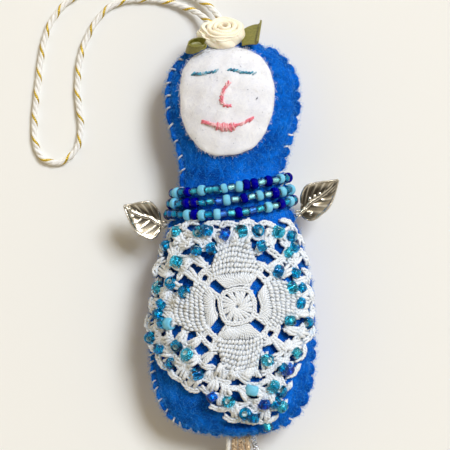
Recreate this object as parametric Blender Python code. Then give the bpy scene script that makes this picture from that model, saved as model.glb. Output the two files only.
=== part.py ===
"""Felt spirit doll, lying on its back.

Two felt panels are sewn together round the edge and stuffed. A felt face, a ribbon rose, three bead
strands, a beaded doily, two leaf charms, a hanging cord and a tassel are sewn on.
Frame: +X to the right of the doll as seen from the front, +Y to the head, +Z up from the table.
The origin is on the table, under the middle of the belly. Sizes are in millimetres.
"""
import math

import bmesh
import bpy
from mathutils import Matrix, Vector

MM = 0.001

# Silhouette of the two felt panels
HEAD_TOP_Y = 85.3
HEAD_Y = 66.0
NECK_Y = 41.0
BELLY_Y = -13.0
BASE_Y = -44.4
HEAD_HALF = 22.0
NECK_HALF = 16.8
BELLY_HALF = 27.0
HEAD_ROUND = 2.6
BASE_ROUND = 3.0
SHOULDER_SKEW = 0.7
END_SHARE = 0.995

# Felt and stuffing
SEAM_Z = 12.5
SEAM_GAP = 0.3
FELT = 1.5
SEAM_MARGIN = 1.3
FRONT_HEAD_CROWN = 8.5
FRONT_NECK_CROWN = 6.5
FRONT_BELLY_CROWN = 12.0
BACK_NECK_CROWN = 6.8
BELLY_CROWN_Y = 0.0
REST_CUT = 0.5
DOME_POWER = 0.7
END_POWER = 0.6
STUFFING_GAP = 0.3
TOUCH_GAP = 0.3
DRAPE_GAP = 0.45
STUFFING_SHARE = 0.97
STUFFING_SIDES = 14
STUFFING_END_ROWS = 3
PANEL_COLUMNS = 6
HEAD_ROWS = 7
NECK_ROWS = 5
SHOULDER_ROWS = 8
BELLY_ROWS = 2
BASE_ROWS = 8

# Felt face and its stitches
FACE_X = -2.0
FACE_Y = 68.3
FACE_HALF = 15.5
FACE_TOP = 15.7
FACE_CHIN = 20.5
FACE_ROUND = 2.3
FACE_FELT = 1.0
EYE_THREAD_R = 0.55
NOSE_THREAD_R = 0.6
MOUTH_THREAD_R = 0.6
MOUTH_LIP_R = 1.5
FACE_TOP_ROWS = 5
FACE_CHIN_ROWS = 6
FACE_COLUMNS = 4
LEFT_EYE = [(-13.5, 75.2), (-10.8, 75.0), (-7.6, 75.7), (-4.5, 76.7)]
RIGHT_EYE = [(-1.5, 76.9), (2.0, 76.0), (5.0, 75.6), (7.9, 75.6)]
NOSE = [(-1.0, 72.7), (-2.9, 70.0), (-3.8, 67.5), (-3.6, 65.6), (-2.3, 64.8), (-0.7, 64.7)]
MOUTH = [(-10.2, 59.7), (-7.0, 58.7), (-4.0, 57.9), (-1.5, 57.8), (1.5, 58.3), (4.4, 59.3), (6.9, 60.7)]

# Ribbon rose and ribbon leaves, on a base tilted over the top of the head
ROSE_X = -3.7
ROSE_Y = 88.0
ROSE_TILT = math.radians(45.0)
ROSE_RADIUS = 6.0
ROSE_STRETCH = 1.18
ROSE_CORE = 0.9
ROSE_TURNS = 2.75
ROSE_STEPS = 18
RIBBON = 0.7
ROSE_CENTRE_HEIGHT = 4.2
ROSE_RIM_HEIGHT = 3.0
ROSE_LEAN = 0.6
RIBBON_PROFILE = [(0.0, 0.0), (0.5, 0.35), (1.0, 1.0)]
LEAF_RIBBON = 0.7
LEAF_FOLD = 1.2
LEAF_GAP = 0.5
LEAF_ROWS = [0.0, 0.2, 0.45, 0.7, 0.9, 1.0]
LEAF_COLUMNS = [-1.0, -0.5, 0.0, 0.5, 1.0]
LEAF_FOOT_SHARE = 0.55
LEAF_WIDEST = 0.6
LEAF_TIP_HALF = 0.2
LEFT_LEAF_LENGTH = 7.0
LEFT_LEAF_HALF = 3.6
LEFT_LEAF_TURN = math.radians(218.0)
RIGHT_LEAF_LENGTH = 6.6
RIGHT_LEAF_HALF = 6.0
RIGHT_LEAF_TURN = math.radians(8.0)

# Bead strands: height on the neck in the middle, how far the right side is above the left, and how far
# both sides are drawn up to the neck
STRANDS = {"necklace_upper": (37.4, 5.3, 0.75),
           "necklace_middle": (33.3, 4.8, 1.1),
           "necklace_lower": (28.9, 4.5, 2.05)}
LARGE_BEAD_R = 1.5
SMALL_BEAD_R = 1.2
BEAD_WAIST = 0.5
STRAND_BEADS = 36

# Cast leaf charms and the thread each hangs on
CHARM_THICK = 0.9
CHARM_RIB = 0.7
CHARM_EYE_R = 1.2
CHARM_HOLE_R = 0.65
CHARM_THREAD_R = 0.25
CHARM_THREAD_FOOT = 0.35
CHARM_THREAD_REACH = 1.9
CHARM_ROWS = 12
CHARM_COLUMNS = [-1.0, -0.7, -0.35, 0.0, 0.35, 0.7, 1.0]
CHARM_OVERLAP = 0.3
CHARM_FOOT_SHARE = 0.04
CHARM_TIP_SHARE = 0.995
CHARM_BLUNT = 0.9
CHARM_TIP_HALF = 0.12
CHARM_SWEEP = 0.6
CHARM_RIB_SHARE = 0.35
CHARM_VEIN_SHARE = 0.45
CHARM_THINNING = 0.4
CHARM_EYE_SIDES = 16
CHARM_EYE_LIFT = 0.03
LEFT_CHARM = {"y": 25.2, "length": 13.6, "half": 5.6, "turn": math.radians(159.0)}
RIGHT_CHARM = {"y": 28.8, "length": 17.2, "half": 5.8, "turn": math.radians(33.0)}

# Crocheted doily: share of the radius where each ring of stitches starts and ends
DOILY_X = 1.5
DOILY_Y = -1.3
DOILY_TOP = 27.0
DOILY_FOOT = 39.5
DOILY_SIDE = 34.0
DOILY_CORNER = 3.0
DOILY_EDGE_SHARE = 0.94
DOILY_THICK = 0.9
DOILY_SPOKES = 48
DOILY_TURN = math.radians(-22.5)
DOILY_SCALLOP = 0.035
DOILY_SCALLOP_SPOKES = 3
DOILY_RINGS = [0.0, 0.19, 0.24, 0.30, 0.46, 0.51, 0.58, 0.63, 0.72, 0.77, 0.86, 0.91, 1.0]
DOILY_BEAD_RING_R = 1.2
DOILY_BEAD_WIRE_R = 0.75
DOILY_BEAD_SIDES = 8
DOILY_WIRE_SIDES = 5
DOILY_BEADS = [
    (-11.2, 23.0), (-2.5, 22.0), (2.8, 23.0), (8.2, 23.2), (15.0, 22.8), (-11.8, 16.7), (-6.8, 17.3),
    (9.5, 18.3), (18.2, 16.0), (-18.5, 13.0), (14.8, 10.0), (20.6, 9.3), (-20.2, 6.0), (-15.8, 3.3),
    (19.5, 4.6), (22.3, -0.6), (-20.8, -7.3), (18.8, -6.3), (-18.2, -14.3), (-14.8, -17.2),
    (-20.2, -20.3), (-11.5, -23.3), (21.2, -16.7), (11.2, -18.7), (16.3, -21.6), (6.2, -28.6),
    (13.2, -27.4), (-1.2, -32.3), (-6.8, -31.0), (10.4, -33.4), (16.2, -34.4), (4.2, -36.6)]

# Hanging cord: both ends sewn in behind the rose, the loop laid on the table
CORD_R = 1.2
CORD_STEPS = 2
CORD_ROUTE = [
    (-5.3, 86.0, 12.5), (-5.7, 88.3, 10.7), (-6.6, 91.0, 8.0), (-8.0, 93.6, 5.9), (-10.8, 96.2, 4.0),
    (-14.2, 98.2, 2.6), (-18.4, 99.9, 1.7), (-24.0, 101.4, 1.3), (-31.0, 101.9, 1.25),
    (-38.0, 101.0, 1.25), (-43.8, 97.6, 1.25), (-48.8, 90.2, 1.25), (-51.6, 82.8, 1.25),
    (-52.6, 75.0, 1.25), (-52.6, 68.0, 1.25), (-51.7, 61.2, 1.25), (-51.6, 57.0, 1.25),
    (-52.6, 52.0, 1.25), (-55.2, 48.4, 1.25), (-59.6, 46.2, 1.25), (-64.0, 47.4, 1.25),
    (-66.6, 51.2, 1.25), (-67.4, 57.2, 1.25), (-67.0, 65.4, 1.25), (-66.0, 74.6, 1.25),
    (-64.9, 83.4, 1.25), (-62.9, 91.4, 1.25), (-59.4, 97.6, 1.25), (-54.2, 102.4, 1.25),
    (-46.6, 105.4, 1.25), (-37.0, 106.4, 1.25), (-26.0, 106.0, 1.3), (-17.0, 104.0, 1.7),
    (-10.0, 100.8, 2.6), (-6.0, 97.2, 4.0), (-3.6, 93.6, 6.0), (-2.6, 90.6, 8.3), (-2.2, 88.2, 10.7),
    (-2.0, 86.0, 12.5)]

# Tassel sewn into the bottom seam: where each strand starts, how far it spreads and how it is crinkled
TASSEL_GAP = 0.6
TASSEL_AXIS_SETBACK = 1.7
TASSEL_REACH = 26.0
TASSEL_TABLE_GAP = 0.1
TASSEL_STEPS = 18
TASSEL_FALL_FROM = 0.06
TASSEL_FALL_SHARE = 0.6
TASSEL_STRAIGHT = 0.25
TASSEL_STRANDS = {
    "tassel_white_strand": {"x": -1.2, "spread": -3.4, "r": 0.8, "crinkle": 0.0},
    "tassel_gold_strand_left": {"x": 0.8, "spread": -1.2, "r": 0.8, "crinkle": 0.3},
    "tassel_gold_strand_middle": {"x": 2.8, "spread": 0.6, "r": 0.8, "crinkle": 0.3},
    "tassel_gold_strand_right": {"x": 4.8, "spread": 3.0, "r": 0.8, "crinkle": 0.3},
    "tassel_silver_strand": {"x": 6.8, "spread": 10.5, "r": 0.8, "crinkle": 0.0}}

FINISHES = {
    "blue_felt": ((0.008, 0.107, 0.604), 0.95, 0.0),
    "white_felt": ((0.75, 0.75, 0.79), 0.95, 0.0),
    "fibre": ((0.85, 0.85, 0.83), 1.0, 0.0),
    "eye_thread": ((0.021, 0.223, 0.376), 0.7, 0.0),
    "pink_thread": ((0.871, 0.156, 0.242), 0.6, 0.0),
    "cream_satin": ((0.93, 0.86, 0.72), 0.35, 0.0),
    "olive_satin": ((0.19, 0.2, 0.04), 0.35, 0.0),
    "white_cord": ((0.8, 0.8, 0.78), 0.8, 0.0),
    "glass_bead": ((0.02, 0.3, 0.45), 0.1, 0.0),
    "cast_silver": ((0.55, 0.5, 0.44), 0.3, 1.0),
    "crochet_cotton": ((0.76, 0.78, 0.8), 0.9, 0.0),
    "gold_tinsel": ((0.7, 0.45, 0.12), 0.3, 1.0),
    "silver_tinsel": ((0.7, 0.7, 0.7), 0.3, 1.0)}


def clear_scene():
    for item in list(bpy.data.objects):
        bpy.data.objects.remove(item, do_unlink=True)


def finish(name):
    """Return the named material, made on first use."""
    found = bpy.data.materials.get(name)
    if found:
        return found
    colour, roughness, metallic = FINISHES[name]
    made = bpy.data.materials.new(name)
    made.use_nodes = True
    shader = made.node_tree.nodes["Principled BSDF"]
    shader.inputs["Base Color"].default_value = (*colour, 1.0)
    shader.inputs["Roughness"].default_value = roughness
    shader.inputs["Metallic"].default_value = metallic
    return made


def mesh_object(name, points, faces, finish_name, pivot=(0.0, 0.0, 0.0)):
    """Make one closed mesh object from points in millimetres, with its origin at the pivot."""
    origin = Vector(pivot)
    mesh = bpy.data.meshes.new(name)
    mesh.from_pydata([(Vector(p) - origin) * MM for p in points], [], faces)
    shell = bmesh.new()
    shell.from_mesh(mesh)
    bmesh.ops.recalc_face_normals(shell, faces=shell.faces)
    shell.to_mesh(mesh)
    shell.free()
    mesh.shade_smooth()
    mesh.set_sharp_from_angle(angle=math.radians(40.0))
    made = bpy.data.objects.new(name, mesh)
    made.location = origin * MM
    mesh.materials.append(finish(finish_name))
    bpy.context.collection.objects.link(made)
    return made


def tube_object(name, points, radii, finish_name, resolution, closed=False, pivot=(0.0, 0.0, 0.0)):
    """Make a round tube along points in millimetres, with a radius at each point."""
    origin = Vector(pivot)
    curve = bpy.data.curves.new(name, "CURVE")
    curve.dimensions = "3D"
    curve.bevel_depth = MM
    curve.bevel_resolution = resolution
    curve.use_fill_caps = True
    spline = curve.splines.new("POLY")
    spline.points.add(len(points) - 1)
    for spot, point, radius in zip(spline.points, points, radii):
        spot.co = (*((Vector(point) - origin) * MM), 1.0)
        spot.radius = radius
    spline.use_cyclic_u = closed
    made = bpy.data.objects.new(name, curve)
    made.location = origin * MM
    curve.materials.append(finish(finish_name))
    bpy.context.collection.objects.link(made)
    return made


def smooth_route(points, steps):
    """Read points from a smooth curve through the given ones, so many steps between each pair."""
    knots = [Vector(p) for p in points]
    knots = [2 * knots[0] - knots[1]] + knots + [2 * knots[-1] - knots[-2]]
    route = []
    for before, start, end, after in zip(knots, knots[1:], knots[2:], knots[3:]):
        for step in range(steps):
            t = step / steps
            route.append(0.5 * (2 * start + (end - before) * t
                                + (2 * before - 5 * start + 4 * end - after) * t * t
                                + (3 * start - before - 3 * end + after) * t ** 3))
    return route + [knots[-2]]


def ease(start, end, share):
    """Blend from start to end with a level tangent at both."""
    return start + (end - start) * (0.5 - 0.5 * math.cos(math.pi * min(max(share, 0.0), 1.0)))


def outline_half(y):
    """Half the width of the felt silhouette at a height on the doll."""
    if y >= HEAD_Y:
        share = min((y - HEAD_Y) / (HEAD_TOP_Y - HEAD_Y), END_SHARE)
        return HEAD_HALF * (1 - share ** HEAD_ROUND) ** (1 / HEAD_ROUND)
    if y >= NECK_Y:
        return ease(HEAD_HALF, NECK_HALF, (HEAD_Y - y) / (HEAD_Y - NECK_Y))
    if y >= BELLY_Y:
        return ease(NECK_HALF, BELLY_HALF, ((NECK_Y - y) / (NECK_Y - BELLY_Y)) ** SHOULDER_SKEW)
    share = min((BELLY_Y - y) / (BELLY_Y - BASE_Y), END_SHARE)
    return BELLY_HALF * (1 - share ** BASE_ROUND) ** (1 / BASE_ROUND)


def crown(y, head, neck, belly):
    """Height of the stuffing above the seam on the middle line."""
    if y >= HEAD_Y:
        share = min((y - HEAD_Y) / (HEAD_TOP_Y - HEAD_Y), END_SHARE)
        return head * (1 - share ** HEAD_ROUND) ** END_POWER
    if y >= NECK_Y:
        return ease(head, neck, (HEAD_Y - y) / (HEAD_Y - NECK_Y))
    if y >= BELLY_CROWN_Y:
        return ease(neck, belly, (NECK_Y - y) / (NECK_Y - BELLY_CROWN_Y))
    share = min((BELLY_CROWN_Y - y) / (BELLY_CROWN_Y - BASE_Y), END_SHARE)
    return belly * (1 - share ** BASE_ROUND) ** END_POWER


def front_crown(y):
    return crown(y, FRONT_HEAD_CROWN, FRONT_NECK_CROWN, FRONT_BELLY_CROWN)


def back_crown(y):
    """The back is cut flat where the head and the belly rest on the table."""
    resting = SEAM_Z - SEAM_GAP / 2 - FELT + REST_CUT
    return crown(y, resting, BACK_NECK_CROWN, resting)


def dome(share):
    """Height of the stuffed section as a share of its crown, across the width."""
    return max(1 - share * share, 0.0) ** DOME_POWER


def front_top(x, y):
    """Outer surface of the front panel."""
    share = min(abs(x) / (outline_half(y) - SEAM_MARGIN), 1.0)
    return SEAM_Z + SEAM_GAP / 2 + FELT + front_crown(y) * dome(share)


def front_normal(x, y, step=0.4):
    slope_x = (front_top(x + step, y) - front_top(x - step, y)) / (2 * step)
    slope_y = (front_top(x, y + step) - front_top(x, y - step)) / (2 * step)
    return Vector((-slope_x, -slope_y, 1.0)).normalized()


def stations():
    """Heights on the doll where the panels have a row of points, closer together at the ends."""
    def ramp(count):
        return [END_SHARE * math.sin(0.5 * math.pi * k / count) for k in range(1, count + 1)]

    rows = [HEAD_Y + (HEAD_TOP_Y - HEAD_Y) * s for s in reversed(ramp(HEAD_ROWS))]
    rows += [HEAD_Y + (NECK_Y - HEAD_Y) * k / NECK_ROWS for k in range(NECK_ROWS)]
    rows += [NECK_Y + (BELLY_CROWN_Y - NECK_Y) * k / SHOULDER_ROWS for k in range(SHOULDER_ROWS)]
    rows += [BELLY_CROWN_Y + (BELLY_Y - BELLY_CROWN_Y) * k / BELLY_ROWS for k in range(BELLY_ROWS + 1)]
    rows += [BELLY_Y + (BASE_Y - BELLY_Y) * s for s in ramp(BASE_ROWS)]
    return rows


def sheet_solid(name, upper, lower, finish_name):
    """Close an upper and a lower grid of points into one solid."""
    rows, columns = len(upper), len(upper[0])
    points = [p for row in upper for p in row] + [p for row in lower for p in row]
    shift = rows * columns
    faces = []
    for i in range(rows - 1):
        for j in range(columns - 1):
            quad = [i * columns + j, i * columns + j + 1, (i + 1) * columns + j + 1, (i + 1) * columns + j]
            faces += [quad, [shift + k for k in reversed(quad)]]
    rim = [j for j in range(columns)]
    rim += [i * columns + columns - 1 for i in range(1, rows)]
    rim += [(rows - 1) * columns + j for j in range(columns - 2, -1, -1)]
    rim += [i * columns for i in range(rows - 2, 0, -1)]
    for here, there in zip(rim, rim[1:] + rim[:1]):
        faces.append([there, here, shift + here, shift + there])
    return mesh_object(name, points, faces, finish_name)


def panel(name, side, crown_at):
    """One stuffed felt panel with a flat sewing margin round its edge."""
    columns = [math.sin(0.5 * math.pi * k / PANEL_COLUMNS) for k in range(-PANEL_COLUMNS, PANEL_COLUMNS + 1)]
    outer, inner = [], []
    for y in stations():
        half = outline_half(y) - SEAM_MARGIN
        inner_half = half - FELT * half / (half + FELT)
        level = SEAM_Z + side * SEAM_GAP / 2
        edge = half + SEAM_MARGIN
        outer_row = [(t * half, y, max(level + side * (FELT + crown_at(y) * dome(t)), 0.0)) for t in columns]
        inner_row = [(t * inner_half, y, level + side * crown_at(y) * dome(t)) for t in columns]
        outer_ends = [(s * edge, y, level + side * FELT) for s in (-1, 1)]
        inner_ends = [(s * edge, y, level) for s in (-1, 1)]
        outer.append([outer_ends[0]] + outer_row + [outer_ends[1]])
        inner.append([inner_ends[0]] + inner_row + [inner_ends[1]])
    return sheet_solid(name, outer, inner, "blue_felt")


def loft_solid(name, rings, finish_name, pivot=(0.0, 0.0, 0.0)):
    """Join rings of points into one solid with flat ends."""
    count = len(rings[0])
    points = [p for ring in rings for p in ring]
    faces = [list(range(count)), [len(points) - 1 - k for k in range(count)]]
    for i in range(len(rings) - 1):
        for j in range(count):
            k = (j + 1) % count
            faces.append([i * count + j, i * count + k, (i + 1) * count + k, (i + 1) * count + j])
    return mesh_object(name, points, faces, finish_name, pivot)


def stuffing():
    """Fibre filling, a little clear of the felt all round."""
    around = [2 * math.pi * k / STUFFING_SIDES for k in range(STUFFING_SIDES)]
    rings = []
    for y in stations()[STUFFING_END_ROWS:-STUFFING_END_ROWS]:
        half = outline_half(y) - SEAM_MARGIN
        width = (half - FELT * half / (half + FELT) - STUFFING_GAP) * STUFFING_SHARE
        ring = []
        for a in around:
            high = front_crown(y) if math.sin(a) > 0 else back_crown(y)
            swell = math.copysign(abs(math.sin(a)) ** (2 * DOME_POWER), math.sin(a))
            lift = (high - 2 * STUFFING_GAP) * swell
            ring.append((width * math.cos(a), y, SEAM_Z + lift))
        rings.append(ring)
    return loft_solid("stuffing", rings, "fibre")


def face_oval():
    """Egg-shaped felt patch draped over the front of the head."""
    quarter = 0.5 * math.pi
    above = [math.sin(quarter * k / FACE_TOP_ROWS) for k in range(FACE_TOP_ROWS, 0, -1)]
    below = [math.sin(quarter * k / FACE_CHIN_ROWS) for k in range(FACE_CHIN_ROWS + 1)]
    heights = [FACE_Y + FACE_TOP * END_SHARE * share for share in above]
    heights += [FACE_Y - FACE_CHIN * END_SHARE * share for share in below]
    columns = [math.sin(quarter * k / FACE_COLUMNS) for k in range(-FACE_COLUMNS, FACE_COLUMNS + 1)]
    upper, lower = [], []
    for y in heights:
        share = (y - FACE_Y) / FACE_TOP if y > FACE_Y else (FACE_Y - y) / FACE_CHIN
        half = FACE_HALF * (1 - share ** FACE_ROUND) ** (1 / FACE_ROUND)
        row = [(FACE_X + t * half, y) for t in columns]
        lower.append([(x, y, front_top(x, y) + DRAPE_GAP) for x, y in row])
        upper.append([(x, y, front_top(x, y) + DRAPE_GAP + FACE_FELT) for x, y in row])
    return sheet_solid("face_oval", upper, lower, "white_felt")


def stitch(name, spots, radius, finish_name, lip=0.0):
    """A line of stitching laid on the face, thicker in the middle where it has a lip."""
    flat = smooth_route([(x, y, 0.0) for x, y in spots], 2)
    radii = []
    for k in range(len(flat)):
        swell = max(1 - (4 * (k / (len(flat) - 1) - 0.5)) ** 2, 0.0)
        radii.append(radius + max(lip - radius, 0.0) * swell)
    points = []
    for spot, r in zip(flat, radii):
        lift = DRAPE_GAP + FACE_FELT + TOUCH_GAP + r
        on_felt = Vector((spot.x, spot.y, front_top(spot.x, spot.y)))
        points.append(on_felt + front_normal(spot.x, spot.y) * lift)
    return tube_object(name, points, radii, finish_name, 1)


def face_stitches():
    stitch("left_eye_stitch", LEFT_EYE, EYE_THREAD_R, "eye_thread")
    stitch("right_eye_stitch", RIGHT_EYE, EYE_THREAD_R, "eye_thread")
    stitch("nose_stitch", NOSE, NOSE_THREAD_R, "pink_thread")
    stitch("mouth_stitch", MOUTH, MOUTH_THREAD_R, "pink_thread", MOUTH_LIP_R)


def rose_frame():
    """Place of the rose's base: its near rim sits on the face and it leans away from the head."""
    rim = ROSE_RADIUS + RIBBON
    rim_y = ROSE_Y - rim * math.cos(ROSE_TILT)
    seat = front_top(ROSE_X, rim_y) + DRAPE_GAP + FACE_FELT + TOUCH_GAP
    base_z = seat - rim * math.sin(ROSE_TILT)
    return Matrix.Translation((ROSE_X, ROSE_Y, base_z)) @ Matrix.Rotation(-ROSE_TILT, 4, "X")


def rose_radius(turn):
    """Inner radius of the wound ribbon after so many turns."""
    return ROSE_CORE + (ROSE_RADIUS - ROSE_CORE) * turn / ROSE_TURNS


def rose_rim(ahead):
    """How far the outermost turn reaches from the rose's middle in a direction along its base."""
    angle = math.atan2(ahead.y, ahead.x / ROSE_STRETCH) % (2 * math.pi)
    part = angle / (2 * math.pi)
    turn = math.floor(ROSE_TURNS - part) + part
    return (rose_radius(turn) + RIBBON) * math.hypot(math.cos(angle) * ROSE_STRETCH, math.sin(angle))


def ribbon_rose():
    """One ribbon wound outwards from its core, each turn leaning further out."""
    frame = rose_frame()
    rings, middles = [], []
    for step in range(int(ROSE_TURNS * ROSE_STEPS) + 1):
        turn = step / ROSE_STEPS
        out = turn / ROSE_TURNS
        angle = 2 * math.pi * turn
        radius = rose_radius(turn)
        height = ROSE_CENTRE_HEIGHT + (ROSE_RIM_HEIGHT - ROSE_CENTRE_HEIGHT) * out
        lean = ROSE_LEAN * out
        ring = []
        for level, bulge in RIBBON_PROFILE:
            ring.append((radius + lean * bulge, height * level))
        ring += [(r + RIBBON, h) for r, h in reversed(ring)]
        facing = Vector((math.cos(angle) * ROSE_STRETCH, math.sin(angle), 0.0))
        rings.append([frame @ (facing * r + Vector((0.0, 0.0, h))) for r, h in ring])
        middles.append((turn, radius))
    gaps = [b[1] - a[1] - RIBBON for a in middles for b in middles if abs(b[0] - a[0] - 1.0) < 1e-6]
    print("ribbon_rose least gap between turns, mm:", round(min(gaps), 2))
    return loft_solid("ribbon_rose", rings, "cream_satin")


def rose_leaf(name, length, half, turn):
    """A ribbon folded down its middle to a point, tucked against the foot of the rose."""
    frame = rose_frame()
    ahead = Vector((math.cos(turn), math.sin(turn), 0.0))
    aside = Vector((-ahead.y, ahead.x, 0.0))
    rim = rose_rim(ahead)
    upper, lower = [], []
    for share in LEAF_ROWS:
        swell = math.sin(math.pi * min(share / LEAF_WIDEST, 1.0) / 2)
        width = half * (LEAF_FOOT_SHARE + (1 - LEAF_FOOT_SHARE) * swell) * (1 - share ** 3) + LEAF_TIP_HALF
        low_row, high_row = [], []
        for t in LEAF_COLUMNS:
            spot = ahead * (rim + LEAF_GAP + length * share) + aside * (width * t)
            spot.z = LEAF_FOLD * abs(t)
            low_row.append(frame @ spot)
            high_row.append(frame @ (spot + Vector((0.0, 0.0, LEAF_RIBBON))))
        lower.append(low_row)
        upper.append(high_row)
    return sheet_solid(name, upper, lower, "olive_satin")


def necklace(name, middle_y, rise, lift):
    """One strand of beads round the neck: a closed string that swells at each bead."""
    reach = LARGE_BEAD_R + TOUCH_GAP
    points, radii = [], []
    for bead in range(STRAND_BEADS):
        size = SMALL_BEAD_R if bead % 3 == 1 else LARGE_BEAD_R
        for part, share in ((0.0, BEAD_WAIST), (0.3, 1.0), (0.7, 1.0)):
            angle = 2 * math.pi * (bead + part) / STRAND_BEADS
            y = middle_y + 0.5 * rise * math.cos(angle) + lift * math.cos(angle) ** 2
            across = outline_half(y) + reach
            over = front_crown(y) if math.sin(angle) > 0 else back_crown(y)
            up = (over + FELT + SEAM_GAP / 2 + reach) * math.sin(angle)
            points.append((across * math.cos(angle), y, SEAM_Z + up))
            radii.append(size * share)
    return tube_object(name, points, radii, "glass_bead", 1, closed=True)


def charm_pivot(charm, side):
    """The seam where the charm's thread is sewn in: the charm flaps about a line along the doll here."""
    return Vector((side * (outline_half(charm["y"]) + TOUCH_GAP), charm["y"], SEAM_Z))


def leaf_charm(name, charm, side):
    """Cast leaf with a raised midrib and veins, hung by an eye at the end of its stalk."""
    pivot = charm_pivot(charm, side)
    eye = pivot + Vector((side * CHARM_THREAD_REACH, 0.0, -CHARM_THICK / 2))
    ahead = Vector((math.cos(charm["turn"]), math.sin(charm["turn"]), 0.0))
    aside = Vector((-ahead.y, ahead.x, 0.0))
    start = CHARM_EYE_R - CHARM_OVERLAP
    upper, lower = [], []
    for k in range(CHARM_ROWS + 1):
        share = k / CHARM_ROWS
        reach = CHARM_FOOT_SHARE + (CHARM_TIP_SHARE - CHARM_FOOT_SHARE) * share
        half = charm["half"] * math.sin(math.pi * reach ** CHARM_BLUNT) ** CHARM_BLUNT + CHARM_TIP_HALF
        ripple = 0.5 + 0.5 * math.cos(math.pi * k)
        low_row, high_row = [], []
        for t in CHARM_COLUMNS:
            sweep = CHARM_SWEEP * half * abs(t) * (1 - share) * share
            spot = eye + ahead * (start + (charm["length"] - start) * share + sweep) + aside * (half * t)
            midrib = max(1 - abs(t) / CHARM_RIB_SHARE, 0.0)
            vein = CHARM_VEIN_SHARE * ripple * (0.0 < abs(t) < 1.0)
            rib = CHARM_RIB * (midrib + vein)
            low_row.append(spot)
            thick = CHARM_THICK * (1 - CHARM_THINNING * abs(t)) + rib * (1 - share)
            high_row.append(spot + Vector((0.0, 0.0, thick)))
        lower.append(low_row)
        upper.append(high_row)
    leaf = sheet_solid(name, upper, lower, "cast_silver")
    for part, radius, operation in (("eye", CHARM_EYE_R, "UNION"), ("hole", CHARM_HOLE_R, "DIFFERENCE")):
        tall = CHARM_THICK if part == "eye" else 6 * CHARM_THICK
        foot = 0.0 if part == "eye" else -2 * CHARM_THICK
        rings = []
        for z in (foot, foot + tall):
            angles = [2 * math.pi * k / CHARM_EYE_SIDES for k in range(CHARM_EYE_SIDES)]
            level = z + CHARM_EYE_LIFT
            rings.append([eye + Vector((radius * math.cos(a), radius * math.sin(a), level)) for a in angles])
        tool = loft_solid(name + "_" + part, rings, "cast_silver")
        tool.hide_render = True
        tool.display_type = "WIRE"
        cut = leaf.modifiers.new(part, "BOOLEAN")
        cut.operation = operation
        cut.object = tool
    return leaf


def charm_thread(name, charm, side):
    """A loop of sewing thread from the seam, through the eye and back to the same spot."""
    pivot = charm_pivot(charm, side)
    bow = CHARM_THICK / 2 + CHARM_RIB + TOUCH_GAP
    points = []
    for k in range(15):
        angle = math.pi * k / 14
        out = CHARM_THREAD_FOOT + (CHARM_THREAD_REACH - CHARM_THREAD_FOOT) * math.sin(angle)
        up = CHARM_THREAD_FOOT * math.cos(angle) + bow * math.sin(2 * angle)
        points.append(pivot + Vector((side * out, 0.0, up)))
    return tube_object(name, points, [CHARM_THREAD_R] * len(points), "white_cord", 1, pivot=pivot)


def doily_reach(angle):
    """How far the doily runs from its centre: a rounded square, ended short of the seam."""
    ahead = (math.cos(angle), math.sin(angle))
    tall = DOILY_TOP if ahead[1] > 0 else DOILY_FOOT
    reach = 1 / (abs(ahead[0] / DOILY_SIDE) ** DOILY_CORNER
                 + abs(ahead[1] / tall) ** DOILY_CORNER) ** (1 / DOILY_CORNER)
    while reach > 1.0:
        x, y = DOILY_X + reach * ahead[0], DOILY_Y + reach * ahead[1]
        inside = y > BASE_Y and abs(x) < DOILY_EDGE_SHARE * (outline_half(y) - SEAM_MARGIN)
        if inside:
            break
        reach -= 0.1
    return reach


def doily_is_open(ring, spoke):
    """Which cells of the net are gaps: between the four petals, and in the chain loops outside them."""
    quarter = spoke % (DOILY_SPOKES // 4)
    between_petals = 4 <= quarter <= 8
    if ring == 1:
        return between_petals and quarter != 6
    if ring == 3:
        return between_petals and quarter != 6
    if ring == 5:
        return spoke % 3 != 0
    if ring in (7, 9):
        return spoke % 3 != (0 if ring == 9 else 1)
    return False


def doily():
    """Lace net of rings and spokes laid over the belly, with its gaps cut right through."""
    angles = [2 * math.pi * (k + 0.5) / DOILY_SPOKES + DOILY_TURN for k in range(DOILY_SPOKES)]
    reaches = [doily_reach(a) for a in angles]
    points = []
    for lift in (DRAPE_GAP, DRAPE_GAP + DOILY_THICK):
        for share in DOILY_RINGS[1:]:
            for k, angle in enumerate(angles):
                scallop = 1.0 - DOILY_SCALLOP * (share == 1.0) * (k % DOILY_SCALLOP_SPOKES == 0)
                x = DOILY_X + reaches[k] * share * scallop * math.cos(angle)
                y = DOILY_Y + reaches[k] * share * scallop * math.sin(angle)
                points.append(Vector((x, y, front_top(x, y) + lift)))
    rings = len(DOILY_RINGS) - 1
    shift = rings * DOILY_SPOKES

    def corner(ring, spoke):
        return ring * DOILY_SPOKES + spoke % DOILY_SPOKES

    for lift in (DRAPE_GAP, DRAPE_GAP + DOILY_THICK):
        points.append(Vector((DOILY_X, DOILY_Y, front_top(DOILY_X, DOILY_Y) + lift)))
    faces = []
    for k in range(DOILY_SPOKES):
        faces.append([corner(0, k + 1), corner(0, k), 2 * shift])
        faces.append([shift + corner(0, k), shift + corner(0, k + 1), 2 * shift + 1])
    sides = {}
    for ring in range(1, rings):
        for k in range(DOILY_SPOKES):
            if doily_is_open(ring, k):
                continue
            quad = [corner(ring - 1, k), corner(ring, k), corner(ring, k + 1), corner(ring - 1, k + 1)]
            faces += [[shift + c for c in quad], list(reversed(quad))]
            for a, b in zip(quad, quad[1:] + quad[:1]):
                sides[(a, b)] = True
    for k in range(DOILY_SPOKES):
        sides[(corner(0, k), corner(0, k + 1))] = True
    for a, b in sides:
        if (b, a) not in sides:
            faces.append([b, a, a + shift, b + shift][::-1])
    return mesh_object("doily", points, faces, "crochet_cotton")


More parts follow.
